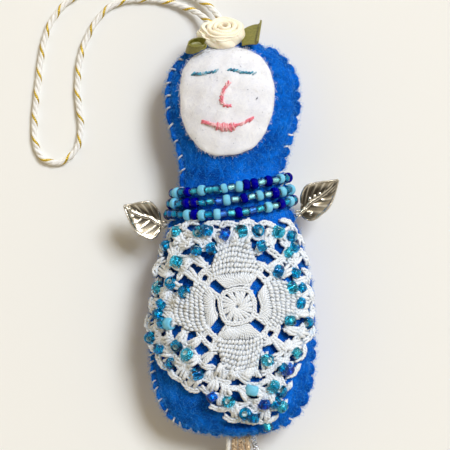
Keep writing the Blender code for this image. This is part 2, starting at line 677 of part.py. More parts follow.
def doily_beads():
    """Glass beads sewn flat on the doily, each a small ring on the slope of the belly."""
    lift = DRAPE_GAP + DOILY_THICK + TOUCH_GAP + DOILY_BEAD_WIRE_R
    for number, (x, y) in enumerate(DOILY_BEADS, 1):
        up = front_normal(x, y)
        centre = Vector((x, y, front_top(x, y))) + up * lift
        ahead = up.orthogonal().normalized()
        aside = up.cross(ahead)
        points = []
        for k in range(DOILY_BEAD_SIDES):
            angle = 2 * math.pi * k / DOILY_BEAD_SIDES
            facing = ahead * math.cos(angle) + aside * math.sin(angle)
            for s in range(DOILY_WIRE_SIDES):
                swing = 2 * math.pi * s / DOILY_WIRE_SIDES
                out = DOILY_BEAD_RING_R + DOILY_BEAD_WIRE_R * math.cos(swing)
                points.append(centre + facing * out + up * (DOILY_BEAD_WIRE_R * math.sin(swing)))
        faces = []
        for k in range(DOILY_BEAD_SIDES):
            here, there = k * DOILY_WIRE_SIDES, (k + 1) % DOILY_BEAD_SIDES * DOILY_WIRE_SIDES
            for s in range(DOILY_WIRE_SIDES):
                after = (s + 1) % DOILY_WIRE_SIDES
                faces.append([here + s, there + s, there + after, here + after])
        mesh_object(f"doily_bead_{number:02d}", points, faces, "glass_bead")


def hanging_cord():
    route = smooth_route(CORD_ROUTE, CORD_STEPS)
    return tube_object("hanging_cord", route, [CORD_R] * len(route), "white_cord", 2)


def tassel():
    """Five strands sewn side by side in the bottom seam, drooping to the table."""
    edge_y = BELLY_Y + (BASE_Y - BELLY_Y) * END_SHARE
    axis_y = edge_y - TASSEL_AXIS_SETBACK
    finishes = {"white": "white_cord", "gold": "gold_tinsel", "silver": "silver_tinsel"}
    for name, strand in TASSEL_STRANDS.items():
        points = []
        for k in range(TASSEL_STEPS + 1):
            share = k / TASSEL_STEPS
            y = edge_y - TASSEL_GAP - TASSEL_REACH * share
            fall = ease(0.0, 1.0, (share - TASSEL_FALL_FROM) / TASSEL_FALL_SHARE)
            z = SEAM_Z + (strand["r"] + TASSEL_TABLE_GAP - SEAM_Z) * fall
            wave = strand["crinkle"] * math.sin(0.5 * math.pi * k) * min(share / TASSEL_STRAIGHT, 1.0)
            points.append((strand["x"] + strand["spread"] * share * share + wave, y, z))
        tube_object(name, points, [strand["r"]] * len(points), finishes[name.split("_")[1]], 1,
                    pivot=(0.0, axis_y, SEAM_Z))
    print("tassel flap axis, mm: y", round(axis_y, 3), "z", SEAM_Z)


def build():
    clear_scene()
    panel("front_panel", 1, front_crown)
    panel("back_panel", -1, back_crown)
    stuffing()
    face_oval()
    face_stitches()
    ribbon_rose()
    rose_leaf("rose_leaf_left", LEFT_LEAF_LENGTH, LEFT_LEAF_HALF, LEFT_LEAF_TURN)
    rose_leaf("rose_leaf_right", RIGHT_LEAF_LENGTH, RIGHT_LEAF_HALF, RIGHT_LEAF_TURN)
    for name, (middle_y, rise, lift) in STRANDS.items():
        necklace(name, middle_y, rise, lift)
    for word, charm, side in (("left", LEFT_CHARM, -1), ("right", RIGHT_CHARM, 1)):
        leaf_charm(word + "_leaf_charm", charm, side)
        charm_thread(word + "_charm_thread", charm, side)
        print(word, "charm flap axis, mm:", [round(v, 3) for v in charm_pivot(charm, side)])
    doily()
    doily_beads()
    hanging_cord()
    tassel()


build()
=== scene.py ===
# %% [markdown]
# # A felt spirit doll
# The doll lies on its back on white paper and is seen from straight above. Its working parts come from the
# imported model, the frame. This notebook dresses that frame: felt, thread, ribbon, glass, silver and crochet.
# Sizes are written in millimetres and turned into metres when a mesh is made.

# %% Load the frame
import math

import bmesh
import bpy
import numpy as np
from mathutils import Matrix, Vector, noise


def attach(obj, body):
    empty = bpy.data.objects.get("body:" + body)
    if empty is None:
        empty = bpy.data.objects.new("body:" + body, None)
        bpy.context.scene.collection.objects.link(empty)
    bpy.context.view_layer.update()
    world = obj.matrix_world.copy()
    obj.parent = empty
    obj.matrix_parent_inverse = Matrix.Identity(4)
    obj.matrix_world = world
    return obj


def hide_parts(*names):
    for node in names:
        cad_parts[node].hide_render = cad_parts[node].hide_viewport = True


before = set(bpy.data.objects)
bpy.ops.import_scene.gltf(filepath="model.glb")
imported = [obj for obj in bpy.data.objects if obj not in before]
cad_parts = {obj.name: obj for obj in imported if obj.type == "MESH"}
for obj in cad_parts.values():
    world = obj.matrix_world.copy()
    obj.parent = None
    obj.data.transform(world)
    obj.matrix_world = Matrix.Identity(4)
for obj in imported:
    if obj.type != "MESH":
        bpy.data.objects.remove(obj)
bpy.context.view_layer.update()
MM = 0.001

# %% [markdown]
# ## The felt silhouette
# The same few sizes that shape the solids shape the felt here, so every piece can ask for the height of the
# stuffed front at any spot and lie on it. A formula is better than reading the mesh back: it is smooth, and
# it has a height at every spot, also beside the felt.

# %% Sizes of the stuffed doll
HEAD_TOP_Y, HEAD_Y, NECK_Y, BELLY_Y, BASE_Y = 85.3, 66.0, 41.0, -13.0, -44.4
HEAD_HALF, NECK_HALF, BELLY_HALF = 22.0, 16.8, 27.0
HEAD_ROUND, BASE_ROUND, SHOULDER_SKEW, END_SHARE = 2.6, 3.0, 0.7, 0.995
SEAM_Z, SEAM_GAP, FELT, SEAM_MARGIN = 12.5, 0.3, 1.5, 1.3
FRONT_CROWNS = (8.5, 6.5, 12.0)
BACK_CROWNS = (11.35, 6.8, 11.35)
BELLY_CROWN_Y = 0.0
DOME_POWER, END_POWER = 0.7, 0.6
DRAPE_GAP, TOUCH_GAP, FACE_FELT = 0.45, 0.3, 1.0


def ease(start, end, share):
    """Blend from start to end with a level tangent at both."""
    return start + (end - start) * (0.5 - 0.5 * np.cos(np.pi * np.clip(share, 0.0, 1.0)))


def outline_half(y):
    """Half the width of the felt at each height on the doll."""
    y = np.asarray(y, float)
    top = np.clip((y - HEAD_Y) / (HEAD_TOP_Y - HEAD_Y), 0.0, END_SHARE)
    low = np.clip((BELLY_Y - y) / (BELLY_Y - BASE_Y), 0.0, END_SHARE)
    head = HEAD_HALF * (1 - top ** HEAD_ROUND) ** (1 / HEAD_ROUND)
    base = BELLY_HALF * (1 - low ** BASE_ROUND) ** (1 / BASE_ROUND)
    neck = ease(HEAD_HALF, NECK_HALF, (HEAD_Y - y) / (HEAD_Y - NECK_Y))
    slope = np.clip((NECK_Y - y) / (NECK_Y - BELLY_Y), 0.0, 1.0) ** SHOULDER_SKEW
    body = ease(NECK_HALF, BELLY_HALF, slope)
    return np.where(y >= HEAD_Y, head, np.where(y >= NECK_Y, neck, np.where(y >= BELLY_Y, body, base)))


def crown(y, crowns):
    """Height of the stuffing above the seam on the middle line."""
    y = np.asarray(y, float)
    head, neck, belly = crowns
    top = np.clip((y - HEAD_Y) / (HEAD_TOP_Y - HEAD_Y), 0.0, END_SHARE)
    low = np.clip((BELLY_CROWN_Y - y) / (BELLY_CROWN_Y - BASE_Y), 0.0, END_SHARE)
    skull = head * (1 - top ** HEAD_ROUND) ** END_POWER
    base = belly * (1 - low ** BASE_ROUND) ** END_POWER
    nape = ease(head, neck, (HEAD_Y - y) / (HEAD_Y - NECK_Y))
    chest = ease(neck, belly, (NECK_Y - y) / (NECK_Y - BELLY_CROWN_Y))
    trunk = np.where(y >= BELLY_CROWN_Y, chest, base)
    return np.where(y >= HEAD_Y, skull, np.where(y >= NECK_Y, nape, trunk))


def dome(x, y, crowns, half):
    """Rise of the stuffing over flat spots; at half from the middle line it has come down to nothing."""
    share = np.minimum(np.abs(x) / half, 1.0)
    return crown(y, crowns) * np.maximum(1 - share ** 2, 0.0) ** DOME_POWER


def front_top(x, y):
    """Outer surface of the stuffed front."""
    return SEAM_Z + SEAM_GAP / 2 + FELT + dome(x, y, FRONT_CROWNS, outline_half(y) - SEAM_MARGIN)


print("felt height on the belly, mm:", round(float(front_top(0.0, 0.0)), 1))

# %% [markdown]
# ## Camera, paper and light
# The photograph looks straight down from about half a metre, with the head at the top. A plain warm-white
# floor takes the soft shadow. A broad, slightly cool lamp at the upper right lights the doll, a warm room
# fills its shadows, and a small lamp puts glints on glass and metal and lights nothing else. Straight above,
# the room is dark, as the person with the camera is, so metal and glass have something dark to mirror. Seen
# directly, in a mirror or through glass, the walls are paler, so that a low view has no dark band behind it.

# %% Camera
PIXELS_PER_MM = 3.0
PHOTO_PIXELS = 450
VIEW_CENTRE = (-2.5, 25.0)
CAMERA_HEIGHT, SENSOR_WIDTH = 520.0, 36.0


def placed(name, data):
    """An object for a camera, lamp or mesh, put in the scene."""
    made = bpy.data.objects.new(name, data)
    bpy.context.collection.objects.link(made)
    return made


camera_data = bpy.data.cameras.new("camera")
camera_data.sensor_width = SENSOR_WIDTH
frame_width = PHOTO_PIXELS / PIXELS_PER_MM
camera_data.lens = camera_data.sensor_width * CAMERA_HEIGHT / frame_width
camera = placed("camera", camera_data)
camera.location = (VIEW_CENTRE[0] * MM, VIEW_CENTRE[1] * MM, (SEAM_Z + CAMERA_HEIGHT) * MM)
bpy.context.scene.camera = camera
bpy.context.scene.view_settings.view_transform = "Standard"
print("lens, mm:", round(camera_data.lens, 1))

# %% Helpers for nodes, plain materials and meshes


def set_inputs(tree, node, values):
    """Link or set each named or numbered input of a node."""
    for title, value in values.items():
        if isinstance(value, bpy.types.NodeSocket):
            tree.links.new(value, node.inputs[title])
        else:
            node.inputs[title].default_value = value


def add_node(tree, kind, values, **settings):
    """Add a node with its settings and its inputs."""
    node = tree.nodes.new(kind)
    for setting, value in settings.items():
        setattr(node, setting, value)
    set_inputs(tree, node, values)
    return node


def plain_material(name, colour, roughness, metallic=0.0):
    """A Principled material with uniform values, and its shader."""
    made = bpy.data.materials.new(name)
    made.use_nodes = True
    shader = made.node_tree.nodes["Principled BSDF"]
    set_inputs(made.node_tree, shader, {
        "Base Color": (*colour, 1.0), "Roughness": roughness, "Metallic": metallic})
    return made, shader


def mesh_piece(name, points, faces, materials, marks=None, smooth=True):
    """Make a mesh object from points in millimetres; marks gives each face's material number."""
    mesh = bpy.data.meshes.new(name)
    spots = [tuple(p) for p in np.asarray(points, float) * MM]
    mesh.from_pydata(spots, [], [list(map(int, f)) for f in faces])
    for material in materials:
        mesh.materials.append(material)
    if marks is not None:
        mesh.polygons.foreach_set("material_index", np.asarray(marks, np.int32))
    mesh.polygons.foreach_set("use_smooth", np.full(len(mesh.polygons), smooth))
    mesh.update()
    return placed(name, mesh)


def settle(piece, body, slot, *nodes):
    """Ride a finished piece on its body and let it stand for its solids; slot is not used."""
    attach(piece, body)
    if nodes:
        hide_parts(*nodes)
    print(piece.name, len(piece.data.polygons), "faces")
    return piece


print("helpers ready")

# %% Paper floor and lamps
FLOOR_REACH = 3000.0
PAPER_WHITE, PAPER_ROUGHNESS = (0.895, 0.90, 0.88), 0.8
KEY_WATTS, KEY_SIZE, KEY_TINT, KEY_SPOT = 368.0, 2400.0, (0.885, 0.93, 1.0), (2.80, 2.85, 5.05)
SPARK_WATTS, SPARK_SIZE, SPARK_TINT, SPARK_SPOT = 1.8, 120.0, (1.0, 1.0, 1.0), (-0.10, 0.34, 0.66)


def area_lamp(name, watts, size, tint, spot):
    """A square lamp at a spot, in metres, that shines at the doll."""
    data = bpy.data.lights.new(name, "AREA")
    data.energy, data.size, data.color = watts, size * MM, tint
    lamp = placed(name, data)
    lamp.location = spot
    lamp.rotation_euler = (-lamp.location).to_track_quat("-Z", "Y").to_euler()
    return lamp


paper, _ = plain_material("paper", PAPER_WHITE, PAPER_ROUGHNESS)
corners = [(-FLOOR_REACH, -FLOOR_REACH, 0), (FLOOR_REACH, -FLOOR_REACH, 0),
           (FLOOR_REACH, FLOOR_REACH, 0), (-FLOOR_REACH, FLOOR_REACH, 0)]
floor = mesh_piece("paper_floor", corners, [(0, 1, 2, 3)], [paper], smooth=False)
area_lamp("key_lamp", KEY_WATTS, KEY_SIZE, KEY_TINT, KEY_SPOT)
spark = area_lamp("window_lamp", SPARK_WATTS, SPARK_SIZE, SPARK_TINT, SPARK_SPOT)
spark.visible_diffuse = False
print("lamps, W:", KEY_WATTS, SPARK_WATTS)

# %% Light of the room
WORLD_LIGHT, WALLS_LIGHT = (0.72, 0.58, 0.36, 1.0), (0.95, 0.935, 0.90, 1.0)
CEILING_LIGHT = (0.05, 0.045, 0.04, 1.0)
DARK_FROM, DARK_FULL = 0.62, 0.86

world = bpy.data.worlds.new("studio")
bpy.context.scene.world = world
world.use_nodes = True
sky_tree = world.node_tree
heading = sky_tree.nodes.new("ShaderNodeTexCoord").outputs["Generated"]
upward = add_node(sky_tree, "ShaderNodeSeparateXYZ", {0: heading}).outputs["Z"]
overhead = add_node(sky_tree, "ShaderNodeMapRange", {
    "Value": upward, "From Min": DARK_FROM, "From Max": DARK_FULL}).outputs["Result"]
rays = sky_tree.nodes.new("ShaderNodeLightPath").outputs
seen = rays["Is Camera Ray"]
for kind in ("Is Glossy Ray", "Is Transmission Ray"):
    seen = add_node(sky_tree, "ShaderNodeMath", {0: seen, 1: rays[kind]}, operation="MAXIMUM").outputs[0]
walls = add_node(sky_tree, "ShaderNodeMix", {
    "Factor": seen, 6: WORLD_LIGHT, 7: WALLS_LIGHT}, data_type="RGBA").outputs[2]
sky = add_node(sky_tree, "ShaderNodeMix", {
    "Factor": overhead, 6: walls, 7: CEILING_LIGHT}, data_type="RGBA").outputs[2]
sky_tree.links.new(sky, sky_tree.nodes["Background"].inputs["Color"])
print("world:", WORLD_LIGHT[:3], "dark above a slope of", DARK_FULL)

# %% [markdown]
# ## Shared shader groups
# Felt, thread and yarn are all fibres, so they share two effects. One mottles a colour with crossed streaks
# of noise, as felted fibres do. The other draws the slanting plies of a twisted thread from the UV map of a
# tube, with painted shade in the grooves and painted light on the crests. Each group puts out a colour and a
# height, and each material sets its own values, so that a better effect has to be made only once.

# %% Shader group tools
BLACK, WHITE = (0.0, 0.0, 0.0, 1.0), (1.0, 1.0, 1.0, 1.0)
SHEEN_ROUGHNESS = 0.5


def new_group(name, inputs):
    """A shader node group that puts out a colour and a height, and its two end nodes."""
    group = bpy.data.node_groups.new(name, "ShaderNodeTree")
    for title, value in inputs.items():
        kind = "NodeSocketColor" if isinstance(value, tuple) else "NodeSocketFloat"
        socket = group.interface.new_socket(title, in_out="INPUT", socket_type=kind)
        socket.default_value = value
    group.interface.new_socket("Color", in_out="OUTPUT", socket_type="NodeSocketColor")
    group.interface.new_socket("Height", in_out="OUTPUT", socket_type="NodeSocketFloat")
    return group, group.nodes.new("NodeGroupInput"), group.nodes.new("NodeGroupOutput")


def put_out(group, ends_in, ends_out, share, tones, height):
    """Mix a group's two named tones by a share, and put out the colour and the height."""
    low, high = (ends_in.outputs[tone] for tone in tones)
    mixed = add_node(group, "ShaderNodeMix", {"Factor": share, 6: low, 7: high}, data_type="RGBA")
    set_inputs(group, ends_out, {"Color": mixed.outputs[2], "Height": height})
    return group


def math_node(tree, operation, *values):
    """A Math node; sockets are linked and numbers are set."""
    return add_node(tree, "ShaderNodeMath", dict(enumerate(values)), operation=operation).outputs[0]


def gained(tree, value, middle, gain):
    """How far a value is from its middle, times a gain."""
    return math_node(tree, "MULTIPLY", math_node(tree, "SUBTRACT", value, middle), gain)


def clamped(tree, value):
    """A value kept between nothing and one."""
    return add_node(tree, "ShaderNodeClamp", {"Value": value}).outputs[0]


def noise_node(tree, vector, scale, detail, roughness=0.6, distortion=0.0):
    """Noise at so many features a metre."""
    node = add_node(tree, "ShaderNodeTexNoise", {
        "Vector": vector, "Scale": scale, "Detail": detail, "Roughness": roughness,
        "Distortion": distortion})
    return node.outputs["Fac"]


def stretched(tree, vector, angle, stretch):
    """Turn coordinates in the plane of the doll and squeeze them along one side, so noise makes streaks."""
    node = add_node(tree, "ShaderNodeMapping", {
        "Vector": vector, "Rotation": (0.0, 0.0, angle), "Scale": (1.0, stretch, 1.0)},
        vector_type="TEXTURE")
    return node.outputs["Vector"]


def grouped_material(name, group, values, roughness, bump, depth, sheen=0.0, metallic=0.0, glare=0.5):
    """A Principled material whose colour and bump come from a group; uniform values stay on the shader."""
    values = {title: (*v, 1.0) if isinstance(v, tuple) else v for title, v in values.items()}
    brightest = [v for v in values.values() if isinstance(v, tuple)][-1]
    made, shader = plain_material(name, brightest[:3], roughness, metallic)
    tree = made.node_tree
    node = add_node(tree, "ShaderNodeGroup", values, node_tree=group)
    lift = add_node(tree, "ShaderNodeBump", {
        "Strength": bump, "Distance": depth * MM, "Height": node.outputs["Height"]})
    set_inputs(tree, shader, {
        "Base Color": node.outputs["Color"], "Normal": lift.outputs["Normal"], "Sheen Weight": sheen,
        "Sheen Roughness": SHEEN_ROUGHNESS, "Sheen Tint": brightest, "Specular IOR Level": glare})
    return made


print("shader tools ready")

# %% Group of felted fibres
STREAK_ANGLES, STREAK_STRETCH, STREAK_MIDDLE, STREAK_GAIN = (0.3, 1.35, 2.4), 3.5, 0.42, 3.2
PATCH_SCALE = 110.0


def build_felted_fibres():
    """Crossed streaks of noise on broad patches, as wool fibres lie in felt."""
    group, ends_in, ends_out = new_group(
        "felted_fibres", {"Scale": 900.0, "Dark": BLACK, "Light": WHITE, "Patches": 0.35})
    place = group.nodes.new("ShaderNodeTexCoord").outputs["Object"]
    streaks = None
    for angle in STREAK_ANGLES:
        one = noise_node(group, stretched(group, place, angle, STREAK_STRETCH), ends_in.outputs["Scale"],
                         detail=3.0, roughness=0.65, distortion=1.2)
        streaks = one if streaks is None else math_node(group, "MAXIMUM", streaks, one)
    patches = noise_node(group, place, PATCH_SCALE, detail=3.0)
    patches = gained(group, patches, 0.5, ends_in.outputs["Patches"])
    level = math_node(group, "ADD", gained(group, streaks, STREAK_MIDDLE, STREAK_GAIN), patches)
    return put_out(group, ends_in, ends_out, clamped(group, level), ("Dark", "Light"), streaks)


felted_fibres = build_felted_fibres()
print("group:", felted_fibres.name)

# %% Group of twisted plies
FLUFF_SCALE, FLUFF_HEIGHT, CREST_POWER, CREST_GAIN = 2600.0, 0.5, 0.6, 0.62


def build_twisted_plies():
    """Slanting plies round a tube, drawn from its UV map, with painted shade in the grooves, painted light on
    the crests and some fluff.
    """
    group, ends_in, ends_out = new_group(
        "twisted_plies", {"Turns": 1.0, "Plies": 3.0, "Groove Shade": BLACK, "Crest": WHITE})
    coordinates = group.nodes.new("ShaderNodeTexCoord").outputs
    split = add_node(group, "ShaderNodeSeparateXYZ", {0: coordinates["UV"]}).outputs
    along = math_node(group, "MULTIPLY", split["X"], ends_in.outputs["Turns"])
    around = math_node(group, "MULTIPLY", split["Y"], ends_in.outputs["Plies"])
    turn = math_node(group, "MULTIPLY", math_node(group, "ADD", along, around), 2 * math.pi)
    wave = math_node(group, "SINE", turn)
    height = math_node(group, "MULTIPLY", math_node(group, "ADD", wave, 1.0), 0.5)
    fluff = noise_node(group, coordinates["Object"], FLUFF_SCALE, detail=3.0)
    crest = math_node(group, "ADD", math_node(group, "POWER", height, CREST_POWER), fluff)
    # The share paints the grooves darker as painted shade and the crests lighter as painted light.
    share = math_node(group, "MULTIPLY", crest, CREST_GAIN)
    relief = math_node(group, "ADD", height, math_node(group, "MULTIPLY", fluff, FLUFF_HEIGHT))
    return put_out(group, ends_in, ends_out, share, ("Groove Shade", "Crest"), relief)


twisted_plies = build_twisted_plies()
print("group:", twisted_plies.name)

# %% [markdown]
# ## Tubes
# Thread, cord, yarn and tinsel are all tubes along a line. One helper sweeps a round or lobed section along
# any line. The section turns as it goes, so a lobed one becomes a twisted yarn with real plies.

# %% Lines and rings
CURVE_STEPS = 24


def run_along(line):
    """Length run from the start of a line to each of its points."""
    return np.concatenate([[0.0], np.cumsum(np.linalg.norm(np.diff(line, axis=0), axis=1))])


def read_line(line, run, at):
    """Points of a line at set lengths of its run."""
    return np.stack([np.interp(at, run, line[:, k]) for k in range(line.shape[1])], 1)


def smooth_line(points, step):
    """A smooth curve through points, read about every step millimetres."""
    knots = np.asarray(points, float)
    ring = np.vstack([2 * knots[:1] - knots[1:2], knots, 2 * knots[-1:] - knots[-2:-1]])
    share = np.linspace(0.0, 1.0, CURVE_STEPS, endpoint=False)[:, None]
    runs = []
    for a, b, c, d in zip(ring, ring[1:], ring[2:], ring[3:]):
        runs.append(0.5 * (2 * b + (c - a) * share + (2 * a - 5 * b + 4 * c - d) * share ** 2
                           + (3 * b - a - 3 * c + d) * share ** 3))
    line = np.vstack(runs + [knots[-1:]])
    run = run_along(line)
    count = max(int(round(run[-1] / step)), 2)
    return read_line(line, run, np.linspace(0.0, run[-1], count + 1))


def flat_line(points, step=0.1):
    """A smooth line on the plane of the doll."""
    return smooth_line(np.column_stack([points, np.zeros(len(points))]), step)[:, :2]


def directions(heading):
    """Flat directions along a heading and across it."""
    ahead = np.array([math.cos(heading), math.sin(heading)])
    return ahead, np.array([-ahead[1], ahead[0]])


def line_length(line):
    """Length of a line of points."""
    return float(np.linalg.norm(np.diff(line, axis=0), axis=1).sum())


def ring_quads(index):
    """Faces between neighbouring closed rings of point numbers."""
    after = np.roll(index, -1, axis=1)
    return np.stack([index[:-1], after[:-1], after[1:], index[1:]], -1).reshape(-1, 4)


def line_frames(line):
    """Directions along a line, and two steady directions across it."""
    ahead = np.gradient(line, axis=0)
    ahead /= np.maximum(np.linalg.norm(ahead, axis=1, keepdims=True), 1e-9)
    start = np.array([0.0, 0.0, 1.0]) if abs(ahead[0, 2]) < 0.9 else np.array([1.0, 0.0, 0.0])
    side = [np.cross(ahead[0], start)]
    side[0] /= np.linalg.norm(side[0])
    for direction in ahead[1:]:
        turned = side[-1] - direction * np.dot(side[-1], direction)
        side.append(turned / max(np.linalg.norm(turned), 1e-9))
    side = np.array(side)
    return ahead, side, np.cross(ahead, side)


def wound(line, reach, pitch, phase):
    """A line that winds round another one at a set reach, one turn every pitch."""
    _, side, over = line_frames(line)
    turn = (2 * np.pi * run_along(line) / pitch + phase)[:, None]
    return line + reach * (np.cos(turn) * side + np.sin(turn) * over)


print("line helpers ready")

# %% Sweep a section along a line
PHASE_STEP = 0.618


class TubeBatch:
    """Collects many tubes into one mesh."""

    def __init__(self):
        """Start with nothing collected."""
        self.points, self.faces, self.marks, self.uvs, self.count = [], [], [], [], 0

    def add(self, line, radius, sides=8, lobes=0, depth=0.0, pitch=0.0, mark=0, flat=1.0):
        """Sweep one tube; lobes, depth and pitch make a plied section that turns once every pitch."""
        line = np.asarray(line, float)
        _, side, over = line_frames(line)
        reach = run_along(line)
        angles = np.linspace(0.0, 2 * np.pi, sides, endpoint=False)
        turn = (2 * np.pi * reach / pitch if pitch else np.zeros(len(line)))[:, None]
        swell = np.ones((len(line), sides))
        if lobes:
            swell = 1 + depth * np.cos(lobes * (angles[None, :] - turn))
        size = np.broadcast_to(np.asarray(radius, float), (len(line),))[:, None] * swell
        across = (size * np.cos(angles))[..., None] * side[:, None, :]
        above = (flat * size * np.sin(angles))[..., None] * over[:, None, :]
        rings = line[:, None, :] + across + above
        base, n = self.count, len(line)
        self.points.append(rings.reshape(-1, 3))
        quads = ring_quads(base + np.arange(n * sides).reshape(n, sides))
        self.faces += quads.tolist()
        phase = PHASE_STEP * len(self.points) % 1.0
        j = np.arange(sides)[None, :]
        low, high = reach[:-1][:, None] + phase, reach[1:][:, None] + phase
        here, there = j / sides, (j + 1) / sides
        corners = [np.stack(np.broadcast_arrays(u, v), -1) for u, v in
                   ((low, here), (low, there), (high, there), (high, here))]
        self.uvs.append(np.stack(corners, 2).reshape(-1, 2))
        last = base + (n - 1) * sides
        self.faces += [list(range(base + sides - 1, base - 1, -1)), list(range(last, last + sides))]
        self.uvs.append(np.zeros((2 * sides, 2)))
        self.marks += [mark] * (len(quads) + 2)
        self.count += n * sides

    def piece(self, name, materials):
        """Turn what was collected into one mesh object with a UV map."""
        made = mesh_piece(name, np.vstack(self.points), self.faces, materials, self.marks)
        layer = made.data.uv_layers.new(name="along_around")
        layer.data.foreach_set("uv", np.vstack(self.uvs).astype(np.float32).ravel())
        return made


print("tube helper ready")

# %% [markdown]
# ## Hanging cord
# The loop that the doll hangs by is a limp three-ply cotton cord with one strand of gold tinsel laid in a
# groove. Three swept tubes that wind round the route give the real plies, and the gold shows once a turn.
# Plies drawn on a single tube would look flat from the side. Both ends are sewn in behind the rose, and the
# loop lies on the paper.

# %% Cord route and plies
CORD_R, CORD_PITCH, CORD_STEP = 1.2, -7.7, 0.4
PLY_SHARE, PLY_REACH_SHARE, GOLD_REACH_SHARE = 0.47, 0.42, 0.55
GOLD_R = 0.50
CORD_ROUTE = [
    (-5.3, 86.0, 12.5), (-5.7, 88.3, 10.7), (-6.6, 91.0, 8.0), (-8.0, 93.6, 5.9), (-10.8, 96.2, 4.0),
    (-14.2, 98.2, 2.6), (-18.4, 99.9, 1.7), (-24.0, 101.4, 1.3), (-31.0, 101.9, 1.25),
    (-38.0, 101.0, 1.25), (-43.8, 97.6, 1.25), (-48.8, 90.2, 1.25), (-51.6, 82.8, 1.25),
    (-52.6, 75.0, 1.25), (-52.6, 68.0, 1.25), (-51.7, 61.2, 1.25), (-51.6, 57.0, 1.25),
    (-52.6, 52.0, 1.25), (-55.2, 48.4, 1.25), (-59.6, 46.2, 1.25), (-64.0, 47.4, 1.25),
    (-66.6, 51.2, 1.25), (-67.4, 57.2, 1.25), (-67.0, 65.4, 1.25), (-66.0, 74.6, 1.25),
    (-64.9, 83.4, 1.25), (-62.9, 91.4, 1.25), (-59.4, 97.6, 1.25), (-54.2, 102.4, 1.25),
    (-46.6, 105.4, 1.25), (-37.0, 106.4, 1.25), (-26.0, 106.0, 1.3), (-17.0, 104.0, 1.7),
    (-10.0, 100.8, 2.6), (-6.0, 97.2, 4.0), (-3.6, 93.6, 6.0), (-2.6, 90.6, 8.3), (-2.2, 88.2, 10.7),
    (-2.0, 86.0, 12.5)]

# The groove tones of the cotton and the tinsel are painted shade between the plies.
cotton_ply = grouped_material("cotton_ply", twisted_plies, {
    "Turns": -0.5, "Plies": 2.0, "Groove Shade": (0.82, 0.81, 0.79), "Crest": (0.93, 0.93, 0.91)},
    roughness=0.85, bump=0.3, depth=0.1, sheen=0.2)
gold_tinsel = grouped_material("gold_tinsel", twisted_plies, {
    "Turns": 1.6, "Plies": 1.0, "Groove Shade": (0.12, 0.075, 0.005), "Crest": (0.70, 0.48, 0.06)},
    roughness=0.32, bump=0.8, depth=0.1, metallic=1.0)


cord_line = smooth_line(CORD_ROUTE, CORD_STEP)
cord_tubes = TubeBatch()
for ply in range(3):
    ply_line = wound(cord_line, CORD_R * PLY_REACH_SHARE, CORD_PITCH, 2 * np.pi * ply / 3)
    cord_tubes.add(ply_line, CORD_R * PLY_SHARE, sides=8)
cord_tubes.add(wound(cord_line, CORD_R * GOLD_REACH_SHARE, CORD_PITCH, np.pi / 3), GOLD_R, sides=6, mark=1)
hanging_cord = settle(cord_tubes.piece("hanging_cord_loop", [cotton_ply, gold_tinsel]),
                      "doll", "white_cord", "hanging_cord")

# %% [markdown]
# ## Felt panels
# Each panel is one piece of wool felt, domed by the stuffing and drawn in at every whip stitch, so its edge
# is a row of small lobes. The mesh runs in rings from the spine out to the edge, because rings follow the
# edge closely where the stitches pull. A cloth simulation blows a coarse copy of the panel out against its
# stitches, and its movement is spread over the fine rings: simulating those would take far longer and look
# no better. Low noise makes the stuffing lumpy, as hand-stuffing is, and a lip rolls over the tassel.

# %% Edge line of the felt
RIGHT_PITCH, LEFT_PITCH, HEAD_FROM, HEAD_WIDER = (3.2, 6.2), (2.7, 4.1), 100.0, 0.45
RIGHT_DEPTH, LEFT_DEPTH, DEPTH_POWER = (0.12, 1.3), (0.10, 0.6), 1.3
EDGE_POINTS = 900
LOBE_BULGE, LOBE_ROUND, LOBE_POWER, LOBE_SIZES, EDGE_RAG = 0.34, 3.0, 0.8, (0.4, 1.5), 0.2
STITCHES_DRAWN, END_CLEAR = 200, 1.5
SPINE_TOP, SPINE_FOOT = 66.0, -16.0


def edge_outline():
    """The silhouette as evenly spaced points, from the middle of the head round by the right."""
    angle = np.linspace(0.0, np.pi / 2, 160)
    top_x = HEAD_HALF * np.sin(angle) ** (2 / HEAD_ROUND)
    top_y = HEAD_Y + (HEAD_TOP_Y - HEAD_Y) * np.cos(angle) ** (2 / HEAD_ROUND)
    side_y = np.linspace(HEAD_Y, BELLY_Y, 200)[1:-1]
    foot_x = BELLY_HALF * np.cos(angle) ** (2 / BASE_ROUND)
    foot_y = BELLY_Y + (BASE_Y - BELLY_Y) * np.sin(angle) ** (2 / BASE_ROUND)
    right_x = np.concatenate([top_x, outline_half(side_y), foot_x])
    right = np.column_stack([right_x, np.concatenate([top_y, side_y, foot_y])])
    left = right[::-1][1:-1] * (-1.0, 1.0)
    ring = np.vstack([right, left, right[:1]])
    run = run_along(ring)
    return read_line(ring, run, np.linspace(0.0, run[-1], EDGE_POINTS, endpoint=False)), run[-1]


edge, edge_length = edge_outline()
draw = np.random.default_rng(7)
right_at = np.cumsum(draw.uniform(*RIGHT_PITCH, STITCHES_DRAWN))
right_at = right_at[right_at < edge_length / 2 - END_CLEAR]
left_steps = np.cumsum(draw.uniform(*LEFT_PITCH, STITCHES_DRAWN))
left_at = edge_length / 2 + left_steps + HEAD_WIDER * np.maximum(left_steps - HEAD_FROM, 0.0)
left_at = left_at[left_at < edge_length - END_CLEAR]
stitch_at = np.concatenate([right_at, left_at])
stitch_count = len(stitch_at)
right_share, left_share = (draw.random(len(spots)) ** DEPTH_POWER for spots in (right_at, left_at))
stitch_depth = np.concatenate([np.interp(right_share, (0, 1), RIGHT_DEPTH),
                               np.interp(left_share, (0, 1), LEFT_DEPTH)])
edge_at = np.arange(EDGE_POINTS) / EDGE_POINTS * edge_length
away = np.abs((edge_at[:, None] - stitch_at[None, :] + edge_length / 2) % edge_length - edge_length / 2)
nearest = np.argmin(away, axis=1)
